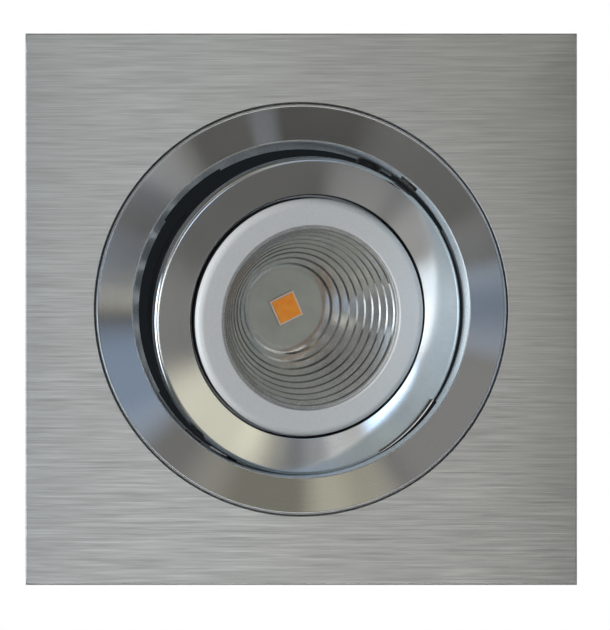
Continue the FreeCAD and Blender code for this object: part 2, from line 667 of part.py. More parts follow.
def make_reflector():
    """Stepped cup: each step climbs steeply, then flares out in a narrow ledge."""
    body = new_piece("reflector")
    steps = int(round(size("reflector_steps")))
    climb = 0.80
    spread = 0.30
    corners = []
    for step in range(steps):
        low = step / steps
        high = (step + 1) / steps
        knee = low + climb * (high - low)
        corners.append((reflector_radius(low), reflector_height(low)))
        corners.append((
            f"(1 - {spread}) * ({reflector_radius(low)}) + {spread} * ({reflector_radius(high)})",
            reflector_height(knee)))
    corners.append((reflector_radius(1), "trim_lip_back"))
    corners.append(("reflector_rim_r", "trim_lip_back"))
    corners.append(("reflector_rim_r", "trim_lip_back + reflector_rim_thick"))
    back_steps = 6
    for step in range(back_steps, -1, -1):
        share = 0.94 * step / back_steps
        corners.append((f"{reflector_radius(share)} + reflector_wall",
                        reflector_height(share) if step else "floor_deep"))
    turned(body, corners)
    seat_in_head(body)


def make_board_and_pad():
    for label, front, back in (
            ("led_board", "floor_deep", "floor_deep + board_thick"),
            ("thermal_pad", "floor_deep + board_thick", "led_seat")):
        body = new_piece(label)
        sketch = new_sketch(body, "disc", "XY_Plane", front)
        circle(sketch, "0", "0", "board_r")
        for side in ("", "-"):
            circle(sketch, f"{side}board_screw_ring_r", "0", "screw_r + seat_play")
        raised(body, sketch, f"{back} - ({front})")
        seat_in_head(body)


def make_emitter():
    for label, side, front, back in (
            ("led_package", "package_side", "floor_deep - package_thick", "floor_deep"),
            ("led_phosphor", "phosphor_side", "floor_deep - package_thick - phosphor_thick",
             "floor_deep - package_thick")):
        body = new_piece(label)
        sketch = new_sketch(body, "square", "XY_Plane", front, "package_turn")
        half = f"{side} / 2"
        rectangle(sketch, f"-{half}", f"-{half}", half, half)
        raised(body, sketch, f"{back} - ({front})")
        seat_in_head(body)


def make_board_screws():
    body = new_piece("board_screws")
    sketch = new_sketch(body, "profile", "XZ_Plane")
    middle = "board_screw_ring_r"
    outline(sketch, [
        (middle, "floor_deep - board_screw_head"),
        (f"{middle} + board_screw_head_r - edge_break", "floor_deep - board_screw_head"),
        (f"{middle} + board_screw_head_r", "floor_deep - board_screw_head + edge_break"),
        (f"{middle} + board_screw_head_r", "floor_deep"),
        (f"{middle} + screw_r", "floor_deep"),
        (f"{middle} + screw_r", "floor_deep + board_screw_long"),
        (middle, "floor_deep + board_screw_long"),
    ])
    feature = body.newObject("PartDesign::Revolution", "board_screw_turned")
    feature.Profile = sketch
    feature.ReferenceAxis = (sketch, [f"Edge{sketch.GeometryCount}"])
    feature.Angle = 360
    round_about(body, [feature], 2)
    seat_in_head(body)


def make_heat_sink():
    """Cup for the reflector, base for the LED board and a crown of upright fins."""
    body = new_piece("heat_sink")
    turned(body, [
        ("0", "led_seat"),
        ("cup_inner_r", "led_seat"),
        ("cup_inner_r", "-lamp_seat"),
        ("lamp_flange_r", "-lamp_seat"),
        ("lamp_flange_r", "circlip_z"),
        ("cup_outer_r", "circlip_z"),
        ("cup_outer_r", "base_back"),
        ("fin_core_r", "base_back"),
        ("fin_core_r", "fin_top"),
        ("0", "fin_top"),
    ])
    fin = new_sketch(body, "fin", "XZ_Plane")
    outline(fin, [
        ("cup_inner_r + cup_wall / 2", "-fin_start"),
        ("fin_r - edge_break", "-fin_start"),
        ("fin_r", "edge_break - fin_start"),
        ("fin_r", "fin_top - fin_corner"),
        ("fin_r - fin_corner", "fin_top"),
        ("fin_core_r / 2", "fin_top"),
        ("fin_core_r / 2", "base_back - base_thick / 2"),
        ("cup_inner_r + cup_wall / 2", "base_back - base_thick / 2"),
    ])
    first = raised(body, fin, "fin_thick", both_ways=True)
    kept = size("fin_count") - size("fins_left_out")
    pitch = 360.0 / size("fin_count")
    round_about(body, [first], kept, pitch * (kept - 1))
    cable = new_sketch(body, "cable", "XY_Plane", "led_seat")
    turn = math.radians(grommet_turn())
    circle(cable, f"grommet_ring_r * {math.cos(turn):.9f}",
           f"grommet_ring_r * {math.sin(turn):.9f}", "grommet_hole_r")
    sunk(body, cable, "base_thick", upwards=True)
    threads = new_sketch(body, "threads", "XY_Plane", "led_seat")
    for side in ("", "-"):
        circle(threads, f"{side}board_screw_ring_r", "0", "screw_r")
    sunk(body, threads, "board_screw_long - board_thick - pad_thick + seat_play", upwards=True)
    seat_in_head(body)


def grommet_turn():
    """Direction of the cable's way in: the middle of the gap left in the crown of fins."""
    return -360.0 / size("fin_count") * (size("fins_left_out") + 1) / 2


def make_cable_grommet():
    body = new_piece("cable_grommet")
    waist = "grommet_hole_r - running_play"
    turned(body, [
        ("cable_hole_r", "led_seat - grommet_flange_thick"),
        ("grommet_flange_r - edge_break", "led_seat - grommet_flange_thick"),
        ("grommet_flange_r", "led_seat - grommet_flange_thick + edge_break"),
        ("grommet_flange_r", "led_seat"),
        (waist, "led_seat"),
        (waist, "base_back"),
        ("grommet_flange_r", "base_back"),
        ("grommet_flange_r", "base_back + grommet_flange_thick - edge_break"),
        ("grommet_flange_r - edge_break", "base_back + grommet_flange_thick"),
        ("cable_hole_r", "base_back + grommet_flange_thick"),
    ])
    way = FreeCAD.Vector(*direction(grommet_turn())) * size("grommet_ring_r")
    seat_in_head(body, FreeCAD.Placement(way, FreeCAD.Rotation()))


# ---------------------------------------------------------------- the clips
SIDES = (("right", 0.0), ("left", 180.0))


def turn_to_side(piece, degrees):
    """Clips are drawn at +X and turned half round for the other side."""
    piece.Placement = FreeCAD.Placement(
        FreeCAD.Vector(0, 0, 0), FreeCAD.Rotation(FreeCAD.Vector(0, 0, 1), degrees))


def make_clip_bracket(side, degrees):
    body = new_piece(f"clip_bracket_{side}")
    back = new_sketch(body, "back", "XZ_Plane")
    rectangle(back, "boss_face", "bracket_foot", "bracket_face", "bracket_top")
    raised(body, back, "2 * bracket_half_wide", both_ways=True)
    for name, shift in (("front", "bracket_half_wide - sheet_thick / 2"),
                        ("rear", "sheet_thick / 2 - bracket_half_wide")):
        ear = new_sketch(body, name, "XZ_Plane", shift)
        outline(ear, [
            ("boss_face", "ear_foot"),
            ("bracket_face", "ear_foot"),
            ("clip_pin_from_axis + ear_round", "clip_pin_height - ear_round"),
            ("clip_pin_from_axis + ear_round", "clip_pin_height"),
            ("clip_pin_from_axis + ear_round * cos(45 * 1deg)",
             "clip_pin_height + ear_round * sin(45 * 1deg)"),
            ("clip_pin_from_axis", "clip_pin_height + ear_round"),
            ("clip_pin_from_axis - ear_round * cos(45 * 1deg)",
             "clip_pin_height + ear_round * sin(45 * 1deg)"),
            ("boss_face", "clip_pin_height"),
        ])
        raised(body, ear, "sheet_thick", both_ways=True)
    width = size("bracket_half_wide")
    rod(body, "Subtractive", "clip_pin_r", -2 * width, 4 * width, (0, 1, 0),
        (size("clip_pin_from_axis"), 0, size("clip_pin_height")))
    for height in ("rivet_low", "rivet_high"):
        rod(body, "Subtractive", "rivet_r", size("boss_face") - size("sheet_thick"),
            3 * size("sheet_thick"), (1, 0, 0), (0, 0, size(height)))
    turn_to_side(body, degrees)


def make_bracket_rivets():
    """Two rivets in each bracket, domed on the outside and flush inside the collar."""
    body = new_piece("bracket_rivets")
    inner = wall_at(size("tube_inner_r"), size("rivet_r")) + size("running_play")
    face = size("bracket_face")
    for way in ((1, 0, 0), (-1, 0, 0)):
        for height in ("rivet_low", "rivet_high"):
            middle = (0, 0, size(height))
            rod(body, "Additive", "rivet_r", inner + size("seat_play"),
                face - inner - size("seat_play"), way, middle)
            rod(body, "Additive", "rivet_head_r", face, size("rivet_head_thick"), way, middle)


def make_clip_pin(side, degrees):
    body = new_piece(f"clip_pin_{side}")
    half = size("bracket_half_wide")
    middle = (size("clip_pin_from_axis"), 0, size("clip_pin_height"))
    rod(body, "Additive", "clip_pin_r", -half, 2 * half, (0, 1, 0), middle)
    for way in ((0, 1, 0), (0, -1, 0)):
        rod(body, "Additive", "clip_head_r", half, size("clip_head_thick"), way, middle)
    turn_to_side(body, degrees)


def arm_frame():
    """Placement of a clip arm's own frame: X along the arm, Y square to its web, at the pin."""
    lean = size("arm_lean")
    pin = FreeCAD.Vector(size("clip_pin_from_axis"), 0, size("clip_pin_height"))
    along = FreeCAD.Vector(math.sin(math.radians(lean)), 0, -math.cos(math.radians(lean)))
    square = FreeCAD.Vector(math.cos(math.radians(lean)), 0, math.sin(math.radians(lean)))
    return FreeCAD.Placement(pin, FreeCAD.Rotation(along, square, along.cross(square), "XYZ"))


def seat_on_arm(piece, degrees):
    side = FreeCAD.Placement(
        FreeCAD.Vector(0, 0, 0), FreeCAD.Rotation(FreeCAD.Vector(0, 0, 1), degrees))
    piece.Placement = side.multiply(arm_frame())


def make_clip_arm(side, degrees):
    """Pressed lever: a web with two cheeks that hang on the pin."""
    body = new_piece(f"clip_arm_{side}")
    web = new_sketch(body, "web", "XY_Plane")
    rectangle(web, "web_start", "arm_offset", "arm_long", "arm_offset + sheet_thick")
    raised(body, web, "2 * cheek_outer_y", both_ways=True)
    for name, shift in (("near", "cheek_outer_y - sheet_thick / 2"),
                        ("far", "sheet_thick / 2 - cheek_outer_y")):
        cheek = new_sketch(body, name, "XY_Plane", shift)
        outline(cheek, [
            ("0", "arm_offset + sheet_thick"),
            ("-cheek_round * cos(45 * 1deg)", "cheek_round * sin(45 * 1deg)"),
            ("-cheek_round", "0"),
            ("-cheek_round * cos(45 * 1deg)", "-cheek_round * sin(45 * 1deg)"),
            ("0", "-cheek_round"),
            ("cheek_round * cos(45 * 1deg)", "-cheek_round * sin(45 * 1deg)"),
            ("cheek_long", "arm_offset"),
            ("cheek_long", "arm_offset + sheet_thick"),
        ])
        raised(body, cheek, "sheet_thick", both_ways=True)
    width = size("bracket_half_wide")
    rod(body, "Subtractive", "clip_pin_r + running_play", -width, 2 * width, (0, 0, 1))
    seat_on_arm(body, degrees)


def make_clip_pad(side, degrees):
    """Soft shoe pushed over the end of the arm."""
    body = new_piece(f"clip_pad_{side}")
    sketch = new_sketch(body, "shoe", "XY_Plane")
    low = "web_mid - shoe_half_thick"
    high = "web_mid + shoe_half_thick"
    outline(sketch, [
        ("shoe_start", low),
        ("shoe_end - shoe_half_thick / 2", low),
        ("shoe_end", "web_mid - shoe_half_thick / 2"),
        ("shoe_end", "web_mid + shoe_half_thick / 2"),
        ("shoe_end - shoe_half_thick / 2", high),
        ("shoe_start", high),
    ])
    raised(body, sketch, "2 * (cheek_outer_y + shoe_past_side)", both_ways=True)
    slot = new_sketch(body, "slot", "XY_Plane")
    rectangle(slot, "shoe_start - edge_break", "arm_offset", "arm_long",
              "arm_offset + sheet_thick")
    sunk(body, slot, "2 * cheek_outer_y", both_ways=True)
    seat_on_arm(body, degrees)


def arc_between(start, start_way, end, end_way):
    """Two arcs that join two points and are tangent to a direction at each."""
    chord = end - start
    both = start_way + end_way
    bend = 2 * (1 - start_way.dot(end_way))
    cross = chord.dot(both)
    reach = (math.sqrt(cross * cross + bend * chord.dot(chord)) - cross) / bend
    corners = (start + start_way * reach, end - end_way * reach)
    middle = (corners[0] + corners[1]) * 0.5
    arcs = []
    for first, corner, last in ((start, corners[0], middle), (middle, corners[1], end)):
        centre_way = corner - (first + last) * 0.5
        half_chord = (last - first).Length / 2
        angle = math.atan2(centre_way.Length, half_chord)
        rise = half_chord * math.tan(angle / 2)
        peak = (first + last) * 0.5 + centre_way.normalize() * rise
        arcs.append(Part.Arc(first, peak, last).toShape())
    return arcs


def spring_points():
    """Coil's half-turn points and directions, from the leg on the bracket to the leg on the arm."""
    radius = size("spring_coil_r")
    whole = 360 * size("spring_turns") + 180 - size("arm_lean")
    steps = 2 * int(round(size("spring_turns"))) + 1
    advance = size("spring_pitch") * whole / 360
    points = []
    for step in range(steps + 1):
        share = step / steps
        turn = math.radians(180 - whole * share)
        point = FreeCAD.Vector(
            radius * math.cos(turn), advance * (share - 0.5), radius * math.sin(turn))
        climb = advance / math.radians(whole)
        way = FreeCAD.Vector(radius * math.sin(turn), climb, -radius * math.cos(turn))
        points.append((point, way.normalize()))
    return points


def spring_path():
    points = spring_points()
    first, first_way = points[0]
    last, last_way = points[-1]
    tail = first - first_way * size("spring_tail")
    tip = last + last_way * size("spring_leg")
    edges = [Part.LineSegment(tail, first).toShape()]
    for (start, start_way), (end, end_way) in zip(points, points[1:]):
        edges += arc_between(start, start_way, end, end_way)
    edges.append(Part.LineSegment(last, tip).toShape())
    return tail, first_way, edges


def spring_gap(edges):
    """Least gap of the coil to itself, on points at least half a turn apart along the wire."""
    radius = size("spring_wire_r")
    points = []
    for edge in edges:
        count = max(2, int(edge.Length / 0.15))
        points += edge.discretize(Number=count)[:-1]
    step = sum(edge.Length for edge in edges) / len(points)
    apart = int(math.pi * size("spring_coil_r") / step)
    least = min(
        (points[late] - points[early]).Length
        for early in range(len(points))
        for late in range(early + apart, len(points)))
    return least - 2 * radius


def make_clip_spring(side, degrees):
    """One wire: a leg behind the bracket's back, the coil round the pin, a leg on the arm."""
    piece = doc.addObject("Part::Feature", f"clip_spring_{side}")
    piece.Label = f"clip_spring_{side}"
    tail, way, edges = spring_path()
    section = Part.Wire(Part.Circle(tail, way, size("spring_wire_r")).toShape())
    piece.Shape = Part.Wire(edges).makePipeShell([section], True, False)
    print(piece.Label, "least gap to itself", round(spring_gap(edges), 3), "mm")
    pin = FreeCAD.Placement(
        FreeCAD.Vector(size("clip_pin_from_axis"), 0, size("clip_pin_height")),
        FreeCAD.Rotation())
    turn = FreeCAD.Placement(
        FreeCAD.Vector(0, 0, 0), FreeCAD.Rotation(FreeCAD.Vector(0, 0, 1), degrees))
    piece.Placement = turn.multiply(pin)
    PIECES.append(piece)


# ---------------------------------------------------------------- build, check, write
make_front_plate()
make_soffit_gasket()
make_mounting_collar()
make_collar_screws()
make_swivel_washer()
make_swivel_ring()
make_pivot_pins()
make_tilt_washers()
make_gimbal_ring()
make_lamp_circlip()
make_lamp_trim()
make_reflector()
make_board_and_pad()
make_emitter()
make_board_screws()
make_heat_sink()
make_cable_grommet()
make_bracket_rivets()
for side_name, side_turn in SIDES:
    make_clip_bracket(side_name, side_turn)
    make_clip_pin(side_name, side_turn)
    make_clip_arm(side_name, side_turn)
    make_clip_pad(side_name, side_turn)
    make_clip_spring(side_name, side_turn)
doc.recompute()

for thing in doc.Objects:
    if "Invalid" in thing.State or "Error" in thing.State:
        raise RuntimeError(f"{thing.Label} did not rebuild: {thing.State}")
for piece in PIECES:
    if piece.Shape.isNull() or not piece.Shape.isValid():
        raise RuntimeError(f"{piece.Label} is not a sound solid")

os.makedirs("parts", exist_ok=True)
for piece in PIECES:
    piece.Shape.exportStep(f"parts/{piece.Label}.step")
    print(piece.Label, len(piece.Shape.Solids), round(piece.Shape.Volume, 2))
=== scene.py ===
# %% [markdown]
# # A square soffit downlight, seen from below
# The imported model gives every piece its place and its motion. This script keeps that frame and
# dresses it: the turned metal rings, the brushed face plate and the stepped reflector are made
# again here as fine meshes, because a mesh can carry the rounded edges and the grain that a
# plain solid lacks.

# %% Load the fixed frame
import json
import math

import bmesh
import bpy
from mathutils import Matrix, Vector


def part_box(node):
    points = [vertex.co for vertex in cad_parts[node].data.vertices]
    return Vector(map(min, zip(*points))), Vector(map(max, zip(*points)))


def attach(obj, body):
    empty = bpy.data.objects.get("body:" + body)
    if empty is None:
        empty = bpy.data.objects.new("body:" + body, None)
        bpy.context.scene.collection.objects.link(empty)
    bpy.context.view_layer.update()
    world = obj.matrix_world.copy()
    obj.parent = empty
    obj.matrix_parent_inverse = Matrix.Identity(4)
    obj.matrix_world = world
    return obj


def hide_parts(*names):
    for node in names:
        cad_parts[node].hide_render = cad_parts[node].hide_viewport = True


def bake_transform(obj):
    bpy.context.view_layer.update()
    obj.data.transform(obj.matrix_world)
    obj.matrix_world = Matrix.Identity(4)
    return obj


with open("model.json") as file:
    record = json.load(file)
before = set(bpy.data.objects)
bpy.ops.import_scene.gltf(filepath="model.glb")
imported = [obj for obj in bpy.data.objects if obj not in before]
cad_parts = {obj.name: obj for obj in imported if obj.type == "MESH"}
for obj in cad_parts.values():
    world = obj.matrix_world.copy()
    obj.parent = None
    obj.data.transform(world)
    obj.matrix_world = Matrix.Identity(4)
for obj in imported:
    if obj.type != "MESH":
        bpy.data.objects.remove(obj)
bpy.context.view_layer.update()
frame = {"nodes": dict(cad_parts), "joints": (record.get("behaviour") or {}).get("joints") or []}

print("nodes in the frame:", len(frame["nodes"]))

# %% [markdown]
# ## Where things are
# Lengths are written in millimetres, as on a maker's drawing, and turned into metres only where
# a mesh is made. The lamp head is drawn upright about its pivot pins and then leaned over, so one
# matrix seats every piece of the head. The pins' place and direction come from the hinge itself.

# %% Millimetres, and the matrices that seat the pieces
MM = 0.001
joints = {joint["name"]: joint for joint in frame["joints"]}
tilt_axis = Vector(joints["head_tilt"]["axis"]).normalized()
pivot = Vector(joints["head_tilt"]["pos_m"])
REST_TILT = math.radians(19.0)
HEAD_SHIFT = 0.5 * MM

UPRIGHT = Matrix.Identity(4)
HEAD = (Matrix.Translation(pivot - tilt_axis * HEAD_SHIFT)
        @ Matrix.Rotation(REST_TILT, 4, tilt_axis))

plate_low, plate_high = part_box("front_plate")
PLATE_HALF = plate_high.x / MM
PLATE_FRONT = plate_low.z / MM
PLATE_BACK = plate_high.z / MM
print("plate", round(2 * PLATE_HALF, 2), "mm wide, front at", round(PLATE_FRONT, 2), "mm")


# %% [markdown]
# ## Turning on a lathe
# Nearly every piece here comes off a lathe, so one function spins an outline of radius and
# height about an axis. A modifier could do the spin as well, but a plain loop also gives exact
# texture coordinates: U runs round the piece and V runs along the outline in metres. The grain
# and the stretched highlights of turned metal need those directions.

# %% Outlines with rounded corners
def eased(corners, steps=4):
    """Outline of (radius, height) points, where a third number rounds that corner."""
    outline = []
    count = len(corners)
    for index, corner in enumerate(corners):
        here = Vector(corner[:2])
        if len(corner) == 2:
            outline.append(here)
            continue
        before = (Vector(corners[index - 1][:2]) - here).normalized()
        after = (Vector(corners[(index + 1) % count][:2]) - here).normalized()
        half = before.angle(after) / 2
        reach = corner[2] / math.tan(half)
        middle = here + (before + after).normalized() * corner[2] / math.sin(half)
        start = here + before * reach - middle
        turn = start.angle_signed(here + after * reach - middle)
        for step in range(steps + 1):
            spin = Matrix.Rotation(-turn * step / steps, 2)
            outline.append(middle + spin @ start)
    return outline


def square_reach(angle):
    """How far a square's side is at an angle, for a square of half side 1."""
    return 1 / max(abs(math.cos(angle)), abs(math.sin(angle)))


print("points in an outline with one rounded corner:", len(eased([(0, 0, 0.3), (2, 0), (0, 1)])))

# %% Putting a mesh on its body
SHARP_FROM = math.radians(50)
EVEN = "even shading"


def even_shading(piece):
    """Let the large faces set the shading, so that a rounded edge doesn't bend a flat face."""
    weighted = piece.modifiers.new(EVEN, "WEIGHTED_NORMAL")
    weighted.keep_sharp = True
    weighted.weight = 100


def mesh_object(name, mesh, body, replaced):
    """Put a mesh in the scene, on its body, in place of the CAD nodes it stands for."""
    piece = bpy.data.objects.new(name, mesh)
    bpy.context.scene.collection.objects.link(piece)
    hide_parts(*replaced)
    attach(piece, body)
    even_shading(piece)
    return piece


print("edges stay hard from", round(math.degrees(SHARP_FROM)), "degrees up")

# %% The lathe
TURNS = 240


def turned_mesh(name, outline, seat=UPRIGHT, turns=TURNS, square_above=math.inf):
    """Spin an outline about Z. Points wider than square_above follow a square instead."""
    mesh = bpy.data.meshes.new(name)
    shape = bmesh.new()
    around = shape.loops.layers.uv.new("around")
    lengths = [0.0]
    for one, two in zip(outline, outline[1:] + outline[:1]):
        lengths.append(lengths[-1] + (two - one).length * MM)
    rings = []
    for turn in range(turns):
        angle = math.tau * turn / turns
        ring = []
        for radius, height in outline:
            reach = radius * square_reach(angle) if radius > square_above else radius
            place = Vector((reach * math.cos(angle), reach * math.sin(angle), height)) * MM
            ring.append(shape.verts.new(seat @ place))
        rings.append(ring)
    count = len(outline)
    for turn in range(turns):
        near = rings[turn]
        far = rings[(turn + 1) % turns]
        for index in range(count):
            after = (index + 1) % count
            face = shape.faces.new((near[index], far[index], far[after], near[after]))
            corners = ((turn, index), (turn + 1, index), (turn + 1, index + 1), (turn, index + 1))
            for corner, (u, v) in zip(face.loops, corners):
                corner[around].uv = (u / turns, lengths[v])
            face.smooth = True
    bmesh.ops.recalc_face_normals(shape, faces=shape.faces)
    shape.to_mesh(mesh)
    shape.free()
    mesh.set_sharp_from_angle(angle=SHARP_FROM)
    return mesh


def paint_band(mesh, seat, inner_r, outer_r, low, high, slot):
    """Give another material slot to the faces between two radii and two heights."""
    back = seat.inverted()
    for face in mesh.polygons:
        middle = back @ face.center / MM
        if inner_r < math.hypot(middle.x, middle.y) < outer_r and low < middle.z < high:
            face.material_index = slot


print("one turn of the lathe:", TURNS, "steps of", 360 / TURNS, "degrees")


# %% [markdown]
# ## Shaders shared by several finishes
# A node group is a small machine with named inputs. Turned metal and brushed metal both show
# fine scratches in one direction, so one group draws scratches from any coordinates, and each
# finish decides how long and how close they are. The group puts out numbers only: the shader
# itself stays in the material, where the exporter can read it.

# %% Node helpers
def add_node(tree, kind, **settings):
    node = tree.nodes.new(kind)
    for name, value in settings.items():
        setattr(node, name, value)
    return node


def new_group(name, inputs, outputs):
    """Empty node group with named sockets."""
    group = bpy.data.node_groups.new(name, "ShaderNodeTree")
    for label, kind, value in inputs:
        socket = group.interface.new_socket(label, in_out="INPUT", socket_type=kind)
        if value is not None:
            socket.default_value = value
    for label, kind in outputs:
        group.interface.new_socket(label, in_out="OUTPUT", socket_type=kind)
    return group, add_node(group, "NodeGroupInput"), add_node(group, "NodeGroupOutput")


def blend_colours(tree, factor, first, second):
    """Blend of a linked colour, at factor 0, and a plain one, at factor 1."""
    node = add_node(tree, "ShaderNodeMix", data_type="RGBA")
    tree.links.new(factor, node.inputs["Factor"])
    tree.links.new(first, node.inputs["A"])
    node.inputs["B"].default_value = second
    return node.outputs["Result"]


def maths(tree, operation, first, second):
    """Sum, product or the like of two values, each a number or a linked output."""
    node = add_node(tree, "ShaderNodeMath", operation=operation)
    for index, value in enumerate((first, second)):
        if isinstance(value, (int, float)):
            node.inputs[index].default_value = value
        else:
            tree.links.new(value, node.inputs[index])
    return node.outputs[0]


print("kinds of shader node to build with:",
      sum(kind.startswith("ShaderNode") for kind in dir(bpy.types)))

# %% Fine scratches in one direction
FLOAT = "NodeSocketFloat"
VECTOR = "NodeSocketVector"


def build_scratches():
    """Lines stretched along the first coordinate, put out as a coarse set and a fine set."""
    group, given, result = new_group(
        "fine_scratches",
        [("Coordinates", VECTOR, None), ("Along", FLOAT, 50.0), ("Across", FLOAT, 3000.0)],
        [("Lines", FLOAT), ("Fine Lines", FLOAT)])
    parts = add_node(group, "ShaderNodeSeparateXYZ")
    group.links.new(given.outputs["Coordinates"], parts.inputs[0])
    for label, along_by, across_by, detail in (("Lines", 1.0, 1.0, 3.0),
                                               ("Fine Lines", 2.4, 2.9, 2.0)):
        along = maths(group, "MULTIPLY", parts.outputs[0],
                      maths(group, "MULTIPLY", given.outputs["Along"], along_by))
        across = maths(group, "MULTIPLY", parts.outputs[1],
                       maths(group, "MULTIPLY", given.outputs["Across"], across_by))
        place = add_node(group, "ShaderNodeCombineXYZ")
        group.links.new(along, place.inputs[0])
        group.links.new(across, place.inputs[1])
        group.links.new(parts.outputs[2], place.inputs[2])
        noise = add_node(group, "ShaderNodeTexNoise")
        noise.inputs["Scale"].default_value = 1.0
        noise.inputs["Detail"].default_value = detail
        group.links.new(place.outputs[0], noise.inputs["Vector"])
        group.links.new(noise.outputs["Fac"], result.inputs[label])
    return group


scratches = build_scratches()
print("node group", scratches.name, "of", len(scratches.nodes), "nodes")

# %% Soft stains and cloudiness
def build_clouds():
    """Soft clouds, and specks that are much finer, in the piece's own coordinates."""
    group, given, result = new_group(
        "soft_clouds", [("Size", FLOAT, 60.0)], [("Cloud", FLOAT), ("Speck", FLOAT)])
    place = add_node(group, "ShaderNodeTexCoord")
    for label, by, detail in (("Cloud", 1.0, 4.0), ("Speck", 18.0, 6.0)):
        noise = add_node(group, "ShaderNodeTexNoise")
        noise.inputs["Detail"].default_value = detail
        group.links.new(maths(group, "MULTIPLY", given.outputs["Size"], by),
                        noise.inputs["Scale"])
        group.links.new(place.outputs["Object"], noise.inputs["Vector"])
        group.links.new(noise.outputs["Fac"], result.inputs[label])
    return group


clouds = build_clouds()
print("node group", clouds.name, "of", len(clouds.nodes), "nodes")

# %% Material helpers
def place_group(tree, group, **values):
    """Put a shared group in a material, with its own numbers on the group's inputs."""
    node = add_node(tree, "ShaderNodeGroup", node_tree=group)
    for name, value in values.items():
        node.inputs[name.replace("_", " ")].default_value = value
    return node


def new_material(name, **sockets):
    """Material with one Principled shader, and its plain numbers set on the sockets."""
    material = bpy.data.materials.new(name)
    material.use_nodes = True
    shader = material.node_tree.nodes["Principled BSDF"]
    for label, value in sockets.items():
        shader.inputs[label.replace("_", " ")].default_value = value
    return material, material.node_tree, shader


def ramp(tree, factor, low, high, start=0.3, end=0.7):
    """Colour that runs from low to high while the factor runs from start to end."""
    node = add_node(tree, "ShaderNodeValToRGB")
    tree.links.new(factor, node.inputs[0])
    node.color_ramp.elements[0].position = start
    node.color_ramp.elements[1].position = end
    node.color_ramp.elements[0].color = (*low, 1)
    node.color_ramp.elements[1].color = (*high, 1)
    return node.outputs[0]


def spread(tree, factor, low, high, start=0.3, end=0.7):
    """Number that runs from low to high while the factor runs from start to end."""
    node = add_node(tree, "ShaderNodeMapRange")
    for label, value in (("From Min", start), ("From Max", end), ("To Min", low), ("To Max", high)):
        node.inputs[label].default_value = value
    tree.links.new(factor, node.inputs["Value"])
    return node.outputs[0]


def bump(tree, shader, height, distance, strength):
    """Dent the shading by a height of 0 to 1 times the distance, in metres."""
    node = add_node(tree, "ShaderNodeBump")
    node.inputs["Strength"].default_value = strength
    node.inputs["Distance"].default_value = distance
    tree.links.new(height, node.inputs["Height"])
    tree.links.new(node.outputs[0], shader.inputs["Normal"])


def follow_grain(tree, shader, layer):
    """Stretch the highlights across the grain, whose direction is U of a texture layer."""
    tangent = add_node(tree, "ShaderNodeTangent", direction_type="UV_MAP", uv_map=layer)
    tree.links.new(tangent.outputs[0], shader.inputs["Tangent"])


print("finishes made so far:", len(bpy.data.materials))

# %% A plain finish with soft clouds and fine specks
ROUGHNESS_SWING = 0.06


def plain_material(name, low, high, roughness, size=300.0, height=0.00002, **sockets):
    material, tree, shader = new_material(name, Roughness=roughness, **sockets)
    cloud = place_group(tree, clouds, Size=size)
    tree.links.new(ramp(tree, cloud.outputs["Cloud"], low, high), shader.inputs["Base Color"])
    tree.links.new(spread(tree, cloud.outputs["Speck"], low=roughness - ROUGHNESS_SWING,
                          high=roughness + ROUGHNESS_SWING), shader.inputs["Roughness"])
    bump(tree, shader, cloud.outputs["Speck"], distance=height, strength=0.3)
    return material


print("a plain finish varies by", ROUGHNESS_SWING, "in roughness")

# %% [markdown]
# ## The brushed face plate
# The plate is stainless steel, brushed straight across with a belt. The scratches scatter light
# up and down only, which is why the real plate shows soft upright bands. Anisotropy in the shader
# does the same. A stretched noise gives the single scratches their own brightness.

# %% Brushed steel
QUARTER_TURN = 0.25


def brushed_plate_material():
    material, tree, shader = new_material(
        "brushed_plate_steel", Metallic=1.0, Roughness=0.32, Anisotropic=1.0,
        Anisotropic_Rotation=QUARTER_TURN)
    place = add_node(tree, "ShaderNodeTexCoord")
    lines = place_group(tree, scratches, Along=55.0, Across=2100.0)
    tree.links.new(place.outputs["Object"], lines.inputs["Coordinates"])
    both = maths(tree, "MULTIPLY", maths(tree, "ADD", lines.outputs["Lines"],
                                         lines.outputs["Fine Lines"]), 0.5)
    tree.links.new(ramp(tree, both, low=(0.49, 0.49, 0.485), high=(0.725, 0.725, 0.715)),
                   shader.inputs["Base Color"])
    tree.links.new(spread(tree, both, low=0.35, high=0.28), shader.inputs["Roughness"])
    bump(tree, shader, both, distance=0.00003, strength=0.3)
    follow_grain(tree, shader, "across")
    return material


plate_steel = brushed_plate_material()
print("plate finish:", plate_steel.name)

# %% Face plate: a square outside, a round opening inside
PLATE_HOLE_R = 34.5
SQUARE_FROM_R = 45.0
PLATE_TURNS = 256
GROOVE_OUT_R = 44.9
GROOVE_IN_R = 41.1
GROOVE_FLOOR = PLATE_BACK - 1.0
RECESS_R = 40.3
RECESS_FLOOR = PLATE_BACK - 1.5
plate_outline = eased([
    (PLATE_HOLE_R, PLATE_FRONT, 0.12),
    (PLATE_HALF, PLATE_FRONT, 0.3),
    (PLATE_HALF, PLATE_BACK, 0.2),
    (GROOVE_OUT_R, PLATE_BACK),
    (GROOVE_OUT_R, GROOVE_FLOOR),
    (GROOVE_IN_R, GROOVE_FLOOR),
    (GROOVE_IN_R, PLATE_BACK),
    (RECESS_R, PLATE_BACK),
    (RECESS_R, RECESS_FLOOR),
    (PLATE_HOLE_R, RECESS_FLOOR),
])


def straight_grain(mesh):
    """Second texture layer, with U across the plate, for the direction of the brushing."""
    layer = mesh.uv_layers.new(name="across")
    for loop in mesh.loops:
        place = mesh.vertices[loop.vertex_index].co
        layer.data[loop.index].uv = (place.x, place.y + place.z)


